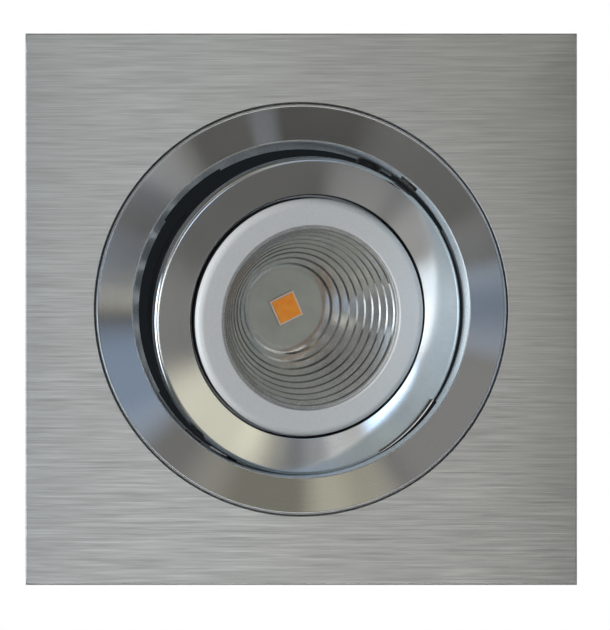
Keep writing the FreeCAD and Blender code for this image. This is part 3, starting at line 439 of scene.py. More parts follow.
plate_mesh = turned_mesh("face_plate", plate_outline, turns=PLATE_TURNS,
                         square_above=SQUARE_FROM_R)
straight_grain(plate_mesh)
plate_mesh.materials.append(plate_steel)
mesh_object("face_plate", plate_mesh, "housing", ["front_plate"])
print("face plate:", len(plate_mesh.polygons), "faces")


# %% [markdown]
# ## Turned satin rings
# The swivel ring and the gimbal ring are turned from aluminium and left with the fine spiral of
# the tool. Light scatters across those grooves, so each ring shows soft spokes of light and dark
# that stay put while the lamp turns. The grooves are so fine that only their shading matters.

# %% Turned satin metal
TURNED_SWING = 0.05


def turned_material(name, light, dark, roughness, grooves=9000.0, grain=0.35):
    material, tree, shader = new_material(
        name, Metallic=1.0, Roughness=roughness, Anisotropic=1.0,
        Anisotropic_Rotation=QUARTER_TURN)
    place = add_node(tree, "ShaderNodeUVMap", uv_map="around")
    lines = place_group(tree, scratches, Along=0.0, Across=grooves)
    tree.links.new(place.outputs[0], lines.inputs["Coordinates"])
    tree.links.new(ramp(tree, lines.outputs["Lines"], low=dark, high=light),
                   shader.inputs["Base Color"])
    tree.links.new(spread(tree, lines.outputs["Fine Lines"], low=roughness + TURNED_SWING,
                          high=roughness - TURNED_SWING), shader.inputs["Roughness"])
    bump(tree, shader, lines.outputs["Lines"], distance=0.00001, strength=grain)
    follow_grain(tree, shader, "around")
    return material


ring_satin = turned_material("swivel_satin", (0.58, 0.575, 0.57), (0.49, 0.487, 0.483),
                             roughness=0.10, grain=0.25)
gimbal_satin = turned_material("gimbal_satin", (0.86, 0.86, 0.85), (0.77, 0.77, 0.76),
                               roughness=0.10, grain=0.25)
# Painted highlight: a near-white coat for the ring's inner lip and the outer rim of its dish, where
# light draws bright edge lines.
lip_highlight_paint = turned_material("painted_lip_highlight", (0.95, 0.96, 0.97), (0.88, 0.89, 0.90),
                             roughness=0.50)
# Painted reflection: the ring's inner wall gets a paler, bluish copy of its metal, for the cool
# window light that the wall mirrors.
wall_sheen_paint = plain_material("painted_wall_sheen", (0.62, 0.72, 0.79), (0.68, 0.78, 0.85),
                            roughness=0.30, Metallic=0.5)
print("turned finishes:", [finish.name for finish in (ring_satin, gimbal_satin, lip_highlight_paint)])

# %% Swivel ring
RING_LIP_R = 28.2
LIP_Z = PLATE_FRONT + 2.2
CAN_R = 30.1
CAN_TOP = 14.4
DISH_R = 34.2
FLANGE_R = 35.6
FLANGE_TOP = -0.6
FLANGE_LOW = -1.95
ring_outline = eased([
    (RING_LIP_R, CAN_TOP, 0.2),
    (CAN_R, CAN_TOP, 0.2),
    (CAN_R, FLANGE_TOP),
    (FLANGE_R, FLANGE_TOP, 0.1),
    (FLANGE_R, FLANGE_LOW, 0.1),
    (DISH_R, FLANGE_LOW),
    (DISH_R, PLATE_FRONT, 0.3),
    (RING_LIP_R, LIP_Z, 0.3),
])
print("swivel ring", 2 * FLANGE_R, "mm across its flange")

# %% Its lip and rim with a painted highlight, and its wall with a painted sheen
# A painted band reaches SPARE or so past the faces that it is for, to take in all of them.
LIP_HIGHLIGHT_SLOT, WALL_SHEEN_SLOT = 1, 2
LIP_WIDE, LIP_DEEP = 0.42, 0.35
RIM_WIDE, RIM_DEEP = 0.32, 0.4
SPARE = 0.1
ring_mesh = turned_mesh("swivel_dish", ring_outline)
for finish in (ring_satin, lip_highlight_paint, wall_sheen_paint):
    ring_mesh.materials.append(finish)
# The inner wall gets the painted sheen.
paint_band(ring_mesh, UPRIGHT, RING_LIP_R - SPARE, RING_LIP_R + SPARE, LIP_Z + LIP_DEEP, CAN_TOP,
           WALL_SHEEN_SLOT)
# The lip and the outer rim of the dish get the painted highlight.
paint_band(ring_mesh, UPRIGHT, RING_LIP_R, RING_LIP_R + LIP_WIDE, LIP_Z - 2 * SPARE,
           LIP_Z + LIP_DEEP, LIP_HIGHLIGHT_SLOT)
paint_band(ring_mesh, UPRIGHT, DISH_R - RIM_WIDE, DISH_R + SPARE, PLATE_FRONT,
           PLATE_FRONT + RIM_DEEP, LIP_HIGHLIGHT_SLOT)
swivel_dish = mesh_object("swivel_dish", ring_mesh, "swivel", ["swivel_ring"])
print("swivel dish before its openings:", len(ring_mesh.polygons), "faces")

# %% Slots and notches in the swivel ring's wall
WALL_MIDDLE_R = RING_LIP_R + 1
SLOT_TURNS = (130.5, -49.5)
SLOT_Z = 3.7
SLOT_BOX = (6, 3.4, 8.4)
NOTCH_TURN = 47
NOTCH_BOX = (8, 13, 10)


def cut_boxes(piece, boxes):
    """Cut box-shaped openings through a mesh and keep the result as its mesh."""
    piece.modifiers[EVEN].show_viewport = False
    for seat, size in boxes:
        bpy.ops.mesh.primitive_cube_add(size=1)
        cutter = bpy.context.object
        cutter.matrix_world = seat @ Matrix.Diagonal((*(Vector(size) * MM), 1))
        bpy.context.view_layer.update()
        cut = piece.modifiers.new("opening", "BOOLEAN")
        cut.object = cutter
        cut.operation = "DIFFERENCE"
        ready = bpy.data.meshes.new_from_object(
            piece.evaluated_get(bpy.context.evaluated_depsgraph_get()))
        piece.modifiers.remove(cut)
        piece.data = ready
        bpy.data.objects.remove(cutter)
    piece.data.set_sharp_from_angle(angle=SHARP_FROM)
    piece.modifiers[EVEN].show_viewport = True


def opening_seat(turn, height):
    """Middle of an opening in the wall, at an angle round the ring and a height."""
    return (Matrix.Rotation(math.radians(turn), 4, "Z")
            @ Matrix.Translation(Vector((WALL_MIDDLE_R, 0, height)) * MM))


def ring_openings():
    """Two narrow slots low in the wall and four wide notches in its upper edge."""
    slots = [(opening_seat(turn, SLOT_Z), SLOT_BOX) for turn in SLOT_TURNS]
    return slots + [(opening_seat(NOTCH_TURN + 90 * quarter, CAN_TOP), NOTCH_BOX)
                    for quarter in range(4)]


cut_boxes(swivel_dish, ring_openings())
print("swivel dish:", len(swivel_dish.data.polygons), "faces")

# %% Gimbal ring, with painted shade on its bore and skirt that keeps the gaps beside its face dark
GIMBAL_R = 27.3
GIMBAL_LOW = -6.5
GIMBAL_EDGE_TOP = -4.4
GIMBAL_HOLE_R = 20.8
GIMBAL_HOLE_LOW = -5.5
LAMP_SEAT_Z = -4.0
SKIRT_IN_R = 24.8
SKIRT_OUT_R = 26.2
SKIRT_TOP = 3.5
SKIRT_ROOT_R, SKIRT_ROOT_Z = 26.6, -4.1
GAP_SHADE_SLOT = 1
# Painted shade: a near-black coat for the gimbal's bore and skirt and the trim's outer side, which
# lie in shadow in the gaps beside the face.
gap_shade_paint = plain_material("painted_gap_shade", (0.008, 0.008, 0.009), (0.014, 0.014, 0.015),
                           roughness=0.7)
gimbal_outline = eased([
    (GIMBAL_R, GIMBAL_LOW, 0.72),
    (GIMBAL_HOLE_R, GIMBAL_HOLE_LOW, 0.3),
    (GIMBAL_HOLE_R, LAMP_SEAT_Z),
    (SKIRT_IN_R, LAMP_SEAT_Z),
    (SKIRT_IN_R, SKIRT_TOP, 0.2),
    (SKIRT_OUT_R, SKIRT_TOP, 0.25),
    (SKIRT_ROOT_R, SKIRT_ROOT_Z, 0.2),
    (GIMBAL_R, GIMBAL_EDGE_TOP, 0.2),
])
gimbal_mesh = turned_mesh("gimbal_face", gimbal_outline, HEAD)
gimbal_mesh.materials.append(gimbal_satin)
gimbal_mesh.materials.append(gap_shade_paint)
# The bore and the skirt get the painted shade.
paint_band(gimbal_mesh, HEAD, GIMBAL_HOLE_R - SPARE, GIMBAL_HOLE_R + SPARE,
           GIMBAL_HOLE_LOW + 4 * SPARE, LAMP_SEAT_Z + SPARE, GAP_SHADE_SLOT)
paint_band(gimbal_mesh, HEAD, SKIRT_OUT_R - 2 * SPARE, SKIRT_ROOT_R + 3 * SPARE,
           SKIRT_ROOT_Z - 2 * SPARE, SKIRT_TOP, GAP_SHADE_SLOT)
mesh_object("gimbal_face", gimbal_mesh, "head", ["gimbal_ring"])
print("gimbal ring:", len(gimbal_mesh.polygons), "faces")


# %% [markdown]
# ## The silver trim ring
# Inside the gimbal sits a ring with a flat face and a fully rounded edge, sprayed with a fine
# silver lacquer. Lacquer with metal flakes is part mirror and part matt, so the shader mixes a
# little metal into a pale base, with fine specks.

# %% Silver lacquer
def lacquer_material():
    material, tree, shader = new_material("silver_lacquer", Metallic=0.08, Roughness=0.5,
                                          Coat_Weight=0.5, Coat_Roughness=0.22)
    cloud = place_group(tree, clouds, Size=240.0)
    tree.links.new(ramp(tree, cloud.outputs["Speck"], low=(0.50, 0.51, 0.515),
                        high=(0.57, 0.58, 0.585)), shader.inputs["Base Color"])
    tree.links.new(spread(tree, cloud.outputs["Cloud"], low=0.46, high=0.54),
                   shader.inputs["Roughness"])
    bump(tree, shader, cloud.outputs["Speck"], distance=0.00001, strength=0.15)
    return material


lacquer = lacquer_material()
print("trim finish:", lacquer.name)

# %% Trim ring
TRIM_R = 20.35
TRIM_LIP_R = 15.8
TRIM_FACE = -7.2
TRIM_LIP_TOP = -6.5
SPIGOT_IN_R = 15.9
SPIGOT_OUT_R = 16.5
SPIGOT_LOW = -6.3
SPIGOT_TOP = -1.5
trim_outline = eased([
    (TRIM_R, TRIM_FACE, 1.3),
    (TRIM_LIP_R, TRIM_FACE, 0.25),
    (TRIM_LIP_R, TRIM_LIP_TOP),
    (SPIGOT_IN_R, SPIGOT_LOW),
    (SPIGOT_IN_R, SPIGOT_TOP),
    (SPIGOT_OUT_R, SPIGOT_TOP),
    (SPIGOT_OUT_R, LAMP_SEAT_Z),
    (TRIM_R, LAMP_SEAT_Z),
], steps=8)
trim_mesh = turned_mesh("trim_face", trim_outline, HEAD)
trim_mesh.materials.append(lacquer)
trim_mesh.materials.append(gap_shade_paint)
# The trim's outer side gets the painted shade of the gap round it.
paint_band(trim_mesh, HEAD, TRIM_R - SPARE / 2, TRIM_R + SPARE, SPIGOT_LOW, LAMP_SEAT_Z + SPARE,
           GAP_SHADE_SLOT)
mesh_object("trim_face", trim_mesh, "head", ["lamp_trim"])
print("trim ring:", len(trim_mesh.polygons), "faces")


# %% [markdown]
# ## The stepped reflector
# The reflector is a moulded cup with a vacuum mirror coating. Its curve climbs in steps: each
# step is a band that faces the lamp and a narrow rounded nose where it turns to the next. Every
# nose catches a thin line of light, and those lines are most of what one sees of it. A fine
# stipple on the bands softens the beam. The narrow grooves between the bands see little but each
# other and lie in shade, so a darker mirror coat paints that shade on them.

# %% Stippled mirror
STIPPLE_SCALE = 3600.0


def mirror_material(name, low, high, dull):
    """Stippled mirror coating. The higher dull is, the softer its reflections."""
    material, tree, shader = new_material(name, Metallic=0.9, Roughness=dull)
    cloud = place_group(tree, clouds, Size=900.0)
    tree.links.new(ramp(tree, cloud.outputs["Cloud"], low, high), shader.inputs["Base Color"])
    dots = add_node(tree, "ShaderNodeTexVoronoi", feature="F1")
    dots.inputs["Scale"].default_value = STIPPLE_SCALE
    place = add_node(tree, "ShaderNodeTexCoord")
    tree.links.new(place.outputs["Object"], dots.inputs["Vector"])
    tree.links.new(spread(tree, dots.outputs["Distance"], low=dull - 0.04, high=dull + 0.05,
                          start=0.0, end=1.0), shader.inputs["Roughness"])
    bump(tree, shader, dots.outputs["Distance"], distance=0.00002, strength=0.25)
    return material


mirror = mirror_material("stippled_mirror", (0.80, 0.81, 0.81), (0.95, 0.95, 0.94), dull=0.13)
groove_shade_mirror = mirror_material("groove_shade_mirror", (0.26, 0.255, 0.24), (0.34, 0.335, 0.32),
                                dull=0.10)
print("mirror finishes:", mirror.name, "and", groove_shade_mirror.name)

# %% The reflector's curve
FLOOR_R = 6.7
MOUTH_R = 15.2
FLOOR_Z = 8.2
RIM_Z = -6.2
STEPS = 9


def bowl_point(share):
    """Place on the reflector's curve, a parabola, at a share of its depth from the floor."""
    radius = math.sqrt(FLOOR_R ** 2 + share * (MOUTH_R ** 2 - FLOOR_R ** 2))
    return radius, FLOOR_Z - share * (FLOOR_Z - RIM_Z)


print("radii of the steps:", [round(bowl_point(step / STEPS)[0], 1) for step in range(STEPS + 1)])

# %% Outline of the reflector
RIM_R = 15.8
RIM_THICK = 0.6
CUP_WALL = 0.55
BACK_SHARES = (0.94, 0.7, 0.45, 0.2, 0.0)
BAND_SPREAD = 0.70
BAND_CLIMB = 0.84
FOOT_ROUND = 0.10
NOSE_ROUND = 0.16


def stepped_bowl():
    """Outline of the cup: bands and noses from the floor to the mouth, and a plain back."""
    outline = []
    for step in range(STEPS):
        low = bowl_point(step / STEPS)
        high = bowl_point((step + 1) / STEPS)
        outline.append((*low, FOOT_ROUND) if step else low)
        outline.append((low[0] + BAND_SPREAD * (high[0] - low[0]),
                        low[1] + BAND_CLIMB * (high[1] - low[1]), NOSE_ROUND))
    outline.append(bowl_point(1))
    outline.append((RIM_R, RIM_Z))
    outline.append((RIM_R, RIM_Z + RIM_THICK))
    for share in BACK_SHARES:
        radius, height = bowl_point(share)
        outline.append((radius + CUP_WALL, height))
    return outline


print("points in the cup's outline:", len(stepped_bowl()))

# %% The cup, with painted shade in its grooves
GROOVE_SHADE_SLOT = 1
PAST_NOSE = 0.04
GROOVE_SPARE = 0.02
bowl_mesh = turned_mesh("stepped_bowl", eased(stepped_bowl(), steps=5), HEAD)
bowl_mesh.materials.append(mirror)
bowl_mesh.materials.append(groove_shade_mirror)
for step in range(STEPS):
    low_r, low_z = bowl_point(step / STEPS)
    high_r, high_z = bowl_point((step + 1) / STEPS)
    groove_from_r = low_r + (BAND_SPREAD + PAST_NOSE) * (high_r - low_r)
    paint_band(bowl_mesh, HEAD, groove_from_r, high_r + GROOVE_SPARE, high_z - SPARE / 2, low_z,
               GROOVE_SHADE_SLOT)
mesh_object("stepped_bowl", bowl_mesh, "head", ["reflector"])
print("reflector:", len(bowl_mesh.polygons), "faces")


# %% [markdown]
# ## The emitter and its board
# At the bottom of the cup sits a round grey board with the emitter in its middle: a pale square
# frame around a square of orange phosphor gel. It is off in the picture, so it doesn't glow. The
# mirror round it would repeat that orange in coarse patches, so rays that come from a mirror see
# most of it in a quiet brown.

# %% Board, frame and phosphor finishes
board_grey = plain_material("board_grey", (0.32, 0.32, 0.28), (0.37, 0.37, 0.325),
                            roughness=0.45)
frame_pale = plain_material("emitter_frame", (0.72, 0.56, 0.46), (0.80, 0.66, 0.56),
                            roughness=0.4)
phosphor_gel = plain_material("phosphor_gel", (0.95, 0.27, 0.01), (1.0, 0.36, 0.03),
                              roughness=0.3, size=900.0)
QUIET_BROWN = (0.30, 0.23, 0.16, 1)


def quieten_in_mirrors(material, colour, share):
    """Blend the colour that mirrors see toward another one. The eye still sees its own."""
    tree = material.node_tree
    shader = next(node for node in tree.nodes if node.type == "BSDF_PRINCIPLED")
    own = shader.inputs["Base Color"].links[0].from_socket
    ray = add_node(tree, "ShaderNodeLightPath")
    amount = maths(tree, "MULTIPLY", ray.outputs["Is Glossy Ray"], share)
    tree.links.new(blend_colours(tree, amount, own, colour), shader.inputs["Base Color"])


quieten_in_mirrors(phosphor_gel, QUIET_BROWN, share=0.8)
print("emitter finishes:", [finish.name for finish in (board_grey, frame_pale, phosphor_gel)])

# %% Emitter pieces
AXIS_R = 0.01
BOARD_R = 11.2
BOARD_BACK = FLOOR_Z + 1.5
PACKAGE_TURN = math.radians(-25.0)
PACKAGE_HALF = 2.35
PACKAGE_FACE = FLOOR_Z - 0.5
GEL_HALF = 2.05
GEL_FACE = FLOOR_Z - 0.75


def eased_block(name, half, low, high, ease):
    """Square block in the head, turned like the emitter, with its edges rounded by a bevel."""
    mesh = bpy.data.meshes.new(name)
    shape = bmesh.new()
    bmesh.ops.create_cube(shape, size=1)
    for vertex in shape.verts:
        vertex.co.x *= 2 * half * MM
        vertex.co.y *= 2 * half * MM
        vertex.co.z = (high if vertex.co.z > 0 else low) * MM
    bmesh.ops.bevel(shape, geom=shape.edges[:], offset=ease * MM, segments=3, profile=0.5,
                    affect="EDGES")
    shape.transform(HEAD @ Matrix.Rotation(PACKAGE_TURN, 4, "Z"))
    for face in shape.faces:
        face.smooth = True
    shape.to_mesh(mesh)
    shape.free()
    mesh.set_sharp_from_angle(angle=SHARP_FROM)
    return mesh


board_outline = eased([
    (AXIS_R, FLOOR_Z),
    (BOARD_R, FLOOR_Z, 0.1),
    (BOARD_R, BOARD_BACK, 0.1),
    (AXIS_R, BOARD_BACK),
])
board_mesh = turned_mesh("emitter_board", board_outline, HEAD, turns=96)
board_mesh.materials.append(board_grey)
mesh_object("emitter_board", board_mesh, "head", ["led_board"])

frame_mesh = eased_block("emitter_frame", PACKAGE_HALF, PACKAGE_FACE, FLOOR_Z, ease=0.08)
frame_mesh.materials.append(frame_pale)
mesh_object("emitter_frame", frame_mesh, "head", ["led_package"])

gel_mesh = eased_block("phosphor_square", GEL_HALF, GEL_FACE, PACKAGE_FACE, ease=0.1)
gel_mesh.materials.append(phosphor_gel)
mesh_object("phosphor_square", gel_mesh, "head", ["led_phosphor"])
print("emitter", 2 * PACKAGE_HALF, "mm square on a board of", 2 * BOARD_R, "mm")

# %% [markdown]
# ## The back of the light
# Nobody sees these pieces once the light is up, but they make it a real fitting: a cast body with
# fins, a collar, sprung clips and a rubber grommet. Their shapes are right in the frame, so they
# only need finishes of their own.

# %% Finishes for the pieces that keep their CAD shape
zinc = plain_material("zinc_plated_steel", (0.55, 0.56, 0.57), (0.68, 0.68, 0.67), roughness=0.32,
                      size=400.0, Metallic=1.0)
wire = plain_material("spring_wire", (0.36, 0.36, 0.38), (0.46, 0.46, 0.48), roughness=0.26,
                      size=500.0, Metallic=1.0)
cast = plain_material("cast_aluminium", (0.50, 0.51, 0.52), (0.60, 0.61, 0.62), roughness=0.42,
                      size=260.0, height=0.00008, Metallic=1.0)
dark_steel = plain_material("blackened_steel", (0.03, 0.03, 0.032), (0.05, 0.05, 0.053),
                            roughness=0.4, Metallic=1.0)
nylon = plain_material("natural_nylon", (0.66, 0.64, 0.57), (0.74, 0.72, 0.66), roughness=0.4)
black = plain_material("black_rubber", (0.012, 0.012, 0.013), (0.022, 0.022, 0.024), roughness=0.6)
foam = plain_material("grey_foam", (0.045, 0.045, 0.047), (0.07, 0.07, 0.073), roughness=0.85,
                      size=700.0, height=0.0001)
pad_blue = plain_material("thermal_silicone", (0.26, 0.30, 0.36), (0.31, 0.35, 0.42), roughness=0.6)

FINISHES = {
    "soffit_gasket": foam, "mounting_collar": cast, "collar_screws": zinc,
    "swivel_washer": nylon, "pivot_pins": dark_steel, "tilt_washer": black, "tilt_bush": black,
    "lamp_circlip": wire, "heat_sink": cast, "thermal_pad": pad_blue, "board_screws": zinc,
    "cable_grommet": black, "bracket_rivets": zinc,
}
for side in ("left", "right"):
    FINISHES[f"clip_bracket_{side}"] = zinc
    FINISHES[f"clip_pin_{side}"] = zinc
    FINISHES[f"clip_arm_{side}"] = zinc
    FINISHES[f"clip_pad_{side}"] = black
for node, finish in FINISHES.items():
    holder = frame["nodes"][node]
    holder.data.materials.clear()
    holder.data.materials.append(finish)
print("finishes on CAD nodes:", len(FINISHES))

# %% [markdown]
# ## The clip springs
# Each clip is pushed shut by a torsion spring: one wire with a leg behind the bracket, four turns
# and a bit round the pin, and a leg along the arm. A curve with a round bevel would do for a still
# picture. Here the wire is swept ring by ring into a finished mesh, which takes the place of the
# CAD spring.

# %% Torsion springs
PIN_X = 34.2
PIN_Z = 17.8
WIRE_R = 0.4
WIRE_SIDES = 14
WIRE_STEPS = 216
TIP_SHRINK = 0.7
COIL_R = 2.45
COIL_TURNS = 4.0
COIL_PITCH = 1.5
ARM_LEAN = 10.0
BRACKET_LEG = 4.0
BRACKET_SHARES = (1, 0.97, 0.66, 0.33)
ARM_LEG = 9.0
ARM_SHARES = (0.25, 0.5, 0.75, 0.985, 1)


def spring_line():
    """Middle line of the wire about the pin's middle, from the bracket's leg to the arm's."""
    whole = math.radians(360 * COIL_TURNS + 180 - ARM_LEAN)
    advance = COIL_PITCH * whole / math.tau
    line = []
    for step in range(WIRE_STEPS + 1):
        turn = math.pi - whole * step / WIRE_STEPS
        along = advance * (step / WIRE_STEPS - 0.5)
        line.append(Vector((COIL_R * math.cos(turn), along, COIL_R * math.sin(turn))))
    start_way = (line[0] - line[1]).normalized()
    end_way = (line[-1] - line[-2]).normalized()
    first_leg = [line[0] + start_way * BRACKET_LEG * share for share in BRACKET_SHARES]
    last_leg = [line[-1] + end_way * ARM_LEG * share for share in ARM_SHARES]
    return first_leg + line + last_leg


print("rings along a spring's wire:", len(spring_line()))

# %% Sweeping the wire
def wound_spring(name, side, degrees):
    """Spring of one side of the light, swept along its wire in place of that side's CAD spring."""
    line = spring_line()
    seat = Matrix.Rotation(math.radians(degrees), 4, "Z") @ Matrix.Translation((PIN_X, 0, PIN_Z))
    mesh = bpy.data.meshes.new(name)
    shape = bmesh.new()
    rings = []
    across = Vector((0, 1, 0))
    for step, point in enumerate(line):
        ahead = line[min(step + 1, len(line) - 1)] - line[max(step - 1, 0)]
        across = (across - across.project(ahead)).normalized()
        beside = ahead.normalized().cross(across)
        radius = WIRE_R * (TIP_SHRINK if step in (0, len(line) - 1) else 1.0)
        ring = []
        for side_step in range(WIRE_SIDES):
            turn = math.tau * side_step / WIRE_SIDES
            spot = point + radius * (math.cos(turn) * across + math.sin(turn) * beside)
            ring.append(shape.verts.new((seat @ spot) * MM))
        rings.append(ring)
    for one, two in zip(rings, rings[1:]):
        for index in range(WIRE_SIDES):
            after = (index + 1) % WIRE_SIDES
            shape.faces.new((one[index], one[after], two[after], two[index]))
    shape.faces.new(rings[0])
    shape.faces.new(rings[-1])
    bmesh.ops.recalc_face_normals(shape, faces=shape.faces)
    for face in shape.faces:
        face.smooth = len(face.verts) == 4
    shape.to_mesh(mesh)
    shape.free()
    mesh.materials.append(wire)
    piece = bpy.data.objects.new(name, mesh)
    bpy.context.scene.collection.objects.link(piece)
    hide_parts(f"clip_spring_{side}")
    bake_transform(piece)
    return piece


for side, degrees in (("right", 0), ("left", 180)):
    spring = wound_spring(f"torsion_spring_{side}", side, degrees)
    print(spring.name, "has", len(spring.data.polygons), "faces")

# %% [markdown]
# ## Camera
# The picture is taken square on from below, at arm's length. A camera that isn't quite on the
# plate's centre line sees a little more of one wall of the opening than of the other. The lens is
# shifted to bring the plate back into the frame, so that the plate stays a true rectangle.

# %% Camera
IMAGE_WIDE, IMAGE_HIGH = 610, 630
PIXELS_PER_MM = 6.0
DISTANCE = 420.0 * MM
EYE = Vector((-2.0, 8.0, 0)) * MM
PLATE_CENTRE_PX = (301.2, 309.2)
SENSOR_HIGH = 24.0

seen_high = IMAGE_HIGH / PIXELS_PER_MM * MM
camera_data = bpy.data.cameras.new("camera")
camera_data.sensor_fit = "VERTICAL"
camera_data.sensor_height = SENSOR_HIGH
camera_data.lens = SENSOR_HIGH * DISTANCE / seen_high
aim_x = (IMAGE_WIDE / 2 - PLATE_CENTRE_PX[0]) / PIXELS_PER_MM * MM
aim_y = (IMAGE_HIGH / 2 - PLATE_CENTRE_PX[1]) / PIXELS_PER_MM * MM
camera_data.shift_x = (aim_x - EYE.x) / seen_high
camera_data.shift_y = -(aim_y - EYE.y) / seen_high
camera_data.clip_start = 0.01
camera = bpy.data.objects.new("camera", camera_data)
bpy.context.scene.collection.objects.link(camera)
camera.matrix_world = (Matrix.Translation(EYE + Vector((0, 0, PLATE_FRONT * MM - DISTANCE)))
                       @ Matrix.Rotation(math.pi, 4, "X"))
bpy.context.scene.camera = camera
print("lens", round(camera_data.lens, 1), "mm, shift",
      round(camera_data.shift_x, 3), round(camera_data.shift_y, 3))

# %% [markdown]
# ## Light
# Polished metal shows whatever is in front of it, so the room matters more than the lamps. The
# room is painted on the world with soft windows: each one is a direction, a width and a
# brightness. The camera itself sees plain white behind the light, except straight overhead: there
# is the dark space above the ceiling, which shows only through the gap round the lamp head. The
# mirrors see that dark space larger and softer, so that the gaps stay dark in them too.

# %% Soft windows on the world
COLOUR = "NodeSocketColor"


def build_window():
    """Brightness of a soft round window in a given direction."""
    group, given, result = new_group(
        "soft_window",
        [("Look", VECTOR, None), ("Toward", VECTOR, None), ("Inner", FLOAT, 0.98),
         ("Outer", FLOAT, 0.9), ("Colour", COLOUR, None), ("Strength", FLOAT, 1.0)],
        [("Light", COLOUR)])
    dot = add_node(group, "ShaderNodeVectorMath", operation="DOT_PRODUCT")
    group.links.new(given.outputs["Look"], dot.inputs[0])
    group.links.new(given.outputs["Toward"], dot.inputs[1])
    edge = add_node(group, "ShaderNodeMapRange", interpolation_type="SMOOTHSTEP")
    group.links.new(dot.outputs["Value"], edge.inputs["Value"])
    group.links.new(given.outputs["Outer"], edge.inputs["From Min"])
    group.links.new(given.outputs["Inner"], edge.inputs["From Max"])
    glow = add_node(group, "ShaderNodeVectorMath", operation="SCALE")
    group.links.new(given.outputs["Colour"], glow.inputs[0])
    group.links.new(maths(group, "MULTIPLY", edge.outputs[0], given.outputs["Strength"]),
                    glow.inputs["Scale"])
    group.links.new(glow.outputs[0], result.inputs["Light"])
    return group


window = build_window()
print("node group", window.name, "of", len(window.nodes), "nodes")

# %% The windows
# Each window: angle in the picture (0 is right, 90 is up), angle off the view line, half width,
# softness, colour and strength. All angles are in degrees.
ROOM_GREY = (0.088, 0.087, 0.084)
COOL = (0.88, 1.0, 1.12)
BLUE = (0.70, 0.96, 1.36)
PLAIN = (1.0, 1.0, 0.98)
CREAM = (1.03, 1.0, 0.78)
DEEP_BLUE = (0.55, 1.0, 1.4)
WINDOWS = [
    (197, 86, 22, 12, COOL, 2.6),
    (190, 60, 9, 11, COOL, 1.8),
    (262, 13, 6, 9, PLAIN, 1.7),
    (195, 8, 2, 9, DEEP_BLUE, 0.30),
    (0, 11, 4, 8, CREAM, 0.04),
    (109, 8.5, 1.0, 1.8, COOL, 0.7),
    (235, 4.9, 1.0, 1.8, COOL, 0.4),
    (-38, 25, 4, 3, COOL, 1.0),
    (-46, 31.5, 3, 3.5, PLAIN, 0.28),
    (-46, 41.5, 2.5, 3, PLAIN, 0.18),
    (-62, 37, 5, 7, PLAIN, 0.07),
    (-30, 52, 6, 8, PLAIN, 0.04),
    (-15, 50, 4, 4, PLAIN, 0.12),
    (-10, 36, 6, 8, PLAIN, 0.09),
    (-27, 22, 5, 4, PLAIN, 0.45),
    (-12, 24, 3, 3, BLUE, 2.2),
    (-2, 29.5, 1.5, 2.5, PLAIN, 0.55),
    (-1, 33, 1, 2, PLAIN, 0.22),
    (-1, 40, 1.5, 2.5, CREAM, 0.28),
    (-5, 45.5, 4, 4, CREAM, 0.62),
    (24, 36, 5, 8, BLUE, 0.40),
    (50, 36, 5, 8, PLAIN, 0.20),
    (104, 36, 3, 7, CREAM, 0.48),
    (80, 38, 8, 10, CREAM, 0.22),
    (143, 38, 10, 12, PLAIN, 0.28),
    (178, 36, 6, 4, BLUE, 0.24),
    (196, 36, 2, 7, PLAIN, 0.14),
    (225, 37, 9, 9, PLAIN, 0.11),
    (282, 36, 1.2, 2.5, COOL, 0.26),
    (322, 38, 3, 5, COOL, 0.05),
]
print("windows:", len(WINDOWS), "and the brightest at", max(row[-1] for row in WINDOWS))

# %% The room
# The dark space above the ceiling has a half width and the angle where its soft edge ends, in
# degrees: one pair for what is seen straight through a gap, one for what the mirrors see.
# Above the plate the room fades to white, and the windows fade out, to light the back evenly:
# GREY_ENDS and WINDOWS_END are heights on a globe of radius 1 round the light.
WHITE = (1.0, 1.0, 1.0, 1)
VOID_COLOUR = (0.010, 0.012, 0.014, 1)
OVERHEAD = (-EYE).xy.to_3d() / DISTANCE + Vector((0, 0, 1))
OVERHEAD.normalize()
VOID_SEEN = (4.3, 5.6)
VOID_MIRRORED = (25, 50)
GREY_ENDS = 0.35
WINDOWS_END = 0.15


def toward(angle, off):
    """Direction from the light down into the room, for an angle in the picture."""
    flat = math.sin(math.radians(off))
    return Vector((flat * math.cos(math.radians(angle)), -flat * math.sin(math.radians(angle)),
                   -math.cos(math.radians(off))))


def place_pane(tree, look, way, half, edge, colour=(1, 1, 1), strength=1.0):
    """Light of one window, or mask of a dark space, for the direction that is looked in."""
    pane = place_group(tree, window, Toward=way, Inner=math.cos(math.radians(half)),
                       Outer=math.cos(math.radians(edge)), Colour=(*colour, 1),
                       Strength=strength)
    tree.links.new(look, pane.inputs["Look"])
    return pane.outputs[0]


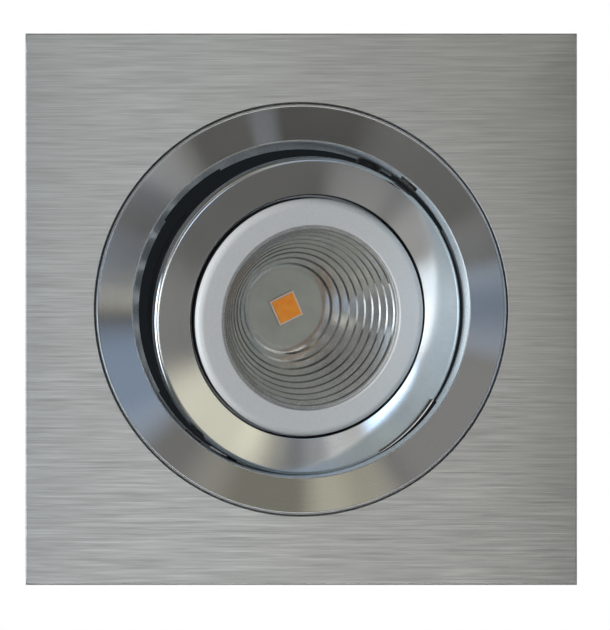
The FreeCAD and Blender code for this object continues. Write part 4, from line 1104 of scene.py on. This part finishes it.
def build_room():
    world = bpy.data.worlds.new("room")
    bpy.context.scene.world = world
    world.use_nodes = True
    tree = world.node_tree
    tree.nodes.clear()
    look = add_node(tree, "ShaderNodeTexCoord").outputs["Generated"]
    parts = add_node(tree, "ShaderNodeSeparateXYZ")
    tree.links.new(look, parts.inputs[0])
    height = parts.outputs[2]
    light = ramp(tree, height, ROOM_GREY, WHITE[:3], start=0.0, end=GREY_ENDS)
    seen, mirrored = [place_pane(tree, look, OVERHEAD, *void)
                      for void in (VOID_SEEN, VOID_MIRRORED)]
    for angle, off, half, soft, colour, strength in WINDOWS:
        pane = place_pane(tree, look, toward(angle, off), half, half + soft, colour, strength)
        total = add_node(tree, "ShaderNodeVectorMath", operation="ADD")
        tree.links.new(light, total.inputs[0])
        tree.links.new(pane, total.inputs[1])
        light = total.outputs[0]
    light = blend_colours(tree, spread(tree, height, low=0.0, high=1.0, start=0.0,
                                       end=WINDOWS_END), light, WHITE)
    ray = add_node(tree, "ShaderNodeLightPath")
    direct = maths(tree, "MAXIMUM", ray.outputs["Is Camera Ray"],
                   ray.outputs["Is Transmission Ray"])
    light = blend_colours(tree, direct, light, WHITE)
    mirrored = maths(tree, "MULTIPLY", mirrored, ray.outputs["Is Glossy Ray"])
    light = blend_colours(tree, maths(tree, "MAXIMUM", seen, mirrored), light, VOID_COLOUR)
    backdrop = add_node(tree, "ShaderNodeBackground")
    tree.links.new(light, backdrop.inputs["Color"])
    surface = add_node(tree, "ShaderNodeOutputWorld")
    tree.links.new(backdrop.outputs[0], surface.inputs[0])
    return world


print("world nodes:", len(build_room().node_tree.nodes))

# %% [markdown]
# ## Lamps
# The windows alone would leave the painted trim flat. Two square lamps below the light shade it,
# a strong one from the left and a weak one from the lower right, and no mirror sees them, since
# the windows already are what the metal mirrors. A third lamp high above lights the back.

# %% Lamps
def softbox(name, angle, off, distance, side, power, mirrored):
    """Square lamp, placed as the windows are, with distance and side in metres, power in watts."""
    data = bpy.data.lights.new(name, "AREA")
    data.shape = "SQUARE"
    data.size = side
    data.energy = power
    lamp = bpy.data.objects.new(name, data)
    bpy.context.scene.collection.objects.link(lamp)
    way = toward(angle, off)
    lamp.location = way * distance
    lamp.rotation_euler = way.to_track_quat("Z", "Y").to_euler()
    lamp.visible_glossy = mirrored
    print(name, "gives", power, "W")


softbox("key_softbox", angle=175, off=58, distance=0.62, side=0.3, power=4.1, mirrored=False)
softbox("fill_softbox", angle=-30, off=28, distance=0.62, side=0.3, power=0.95, mirrored=False)
softbox("top_softbox", angle=60, off=150, distance=1.5, side=0.9, power=2.6, mirrored=True)

# %% [markdown]
# ## Floor
# A plain pale floor lies well below the light. Mirrors and matt faces don't see it, so that it
# can't shade the room that they reflect.

# %% Floor
GROUND_REACH = 3.0
GROUND_Z = -0.62
floor_mesh = bpy.data.meshes.new("floor")
floor_mesh.from_pydata([(x * GROUND_REACH, y * GROUND_REACH, GROUND_Z)
                        for x, y in ((-1, -1), (1, -1), (1, 1), (-1, 1))], [], [(0, 1, 2, 3)])
floor = bpy.data.objects.new("floor", floor_mesh)
bpy.context.scene.collection.objects.link(floor)
floor_mesh.materials.append(plain_material("pale_floor", (0.80, 0.80, 0.80), (0.83, 0.83, 0.83),
                                           roughness=0.7, size=2.0, height=0.0001))
floor.visible_glossy = False
floor.visible_diffuse = False
print("floor", 2 * GROUND_REACH, "m wide,", -GROUND_Z, "m below the light")

# %% Finish
bpy.context.scene.view_settings.view_transform = "Standard"
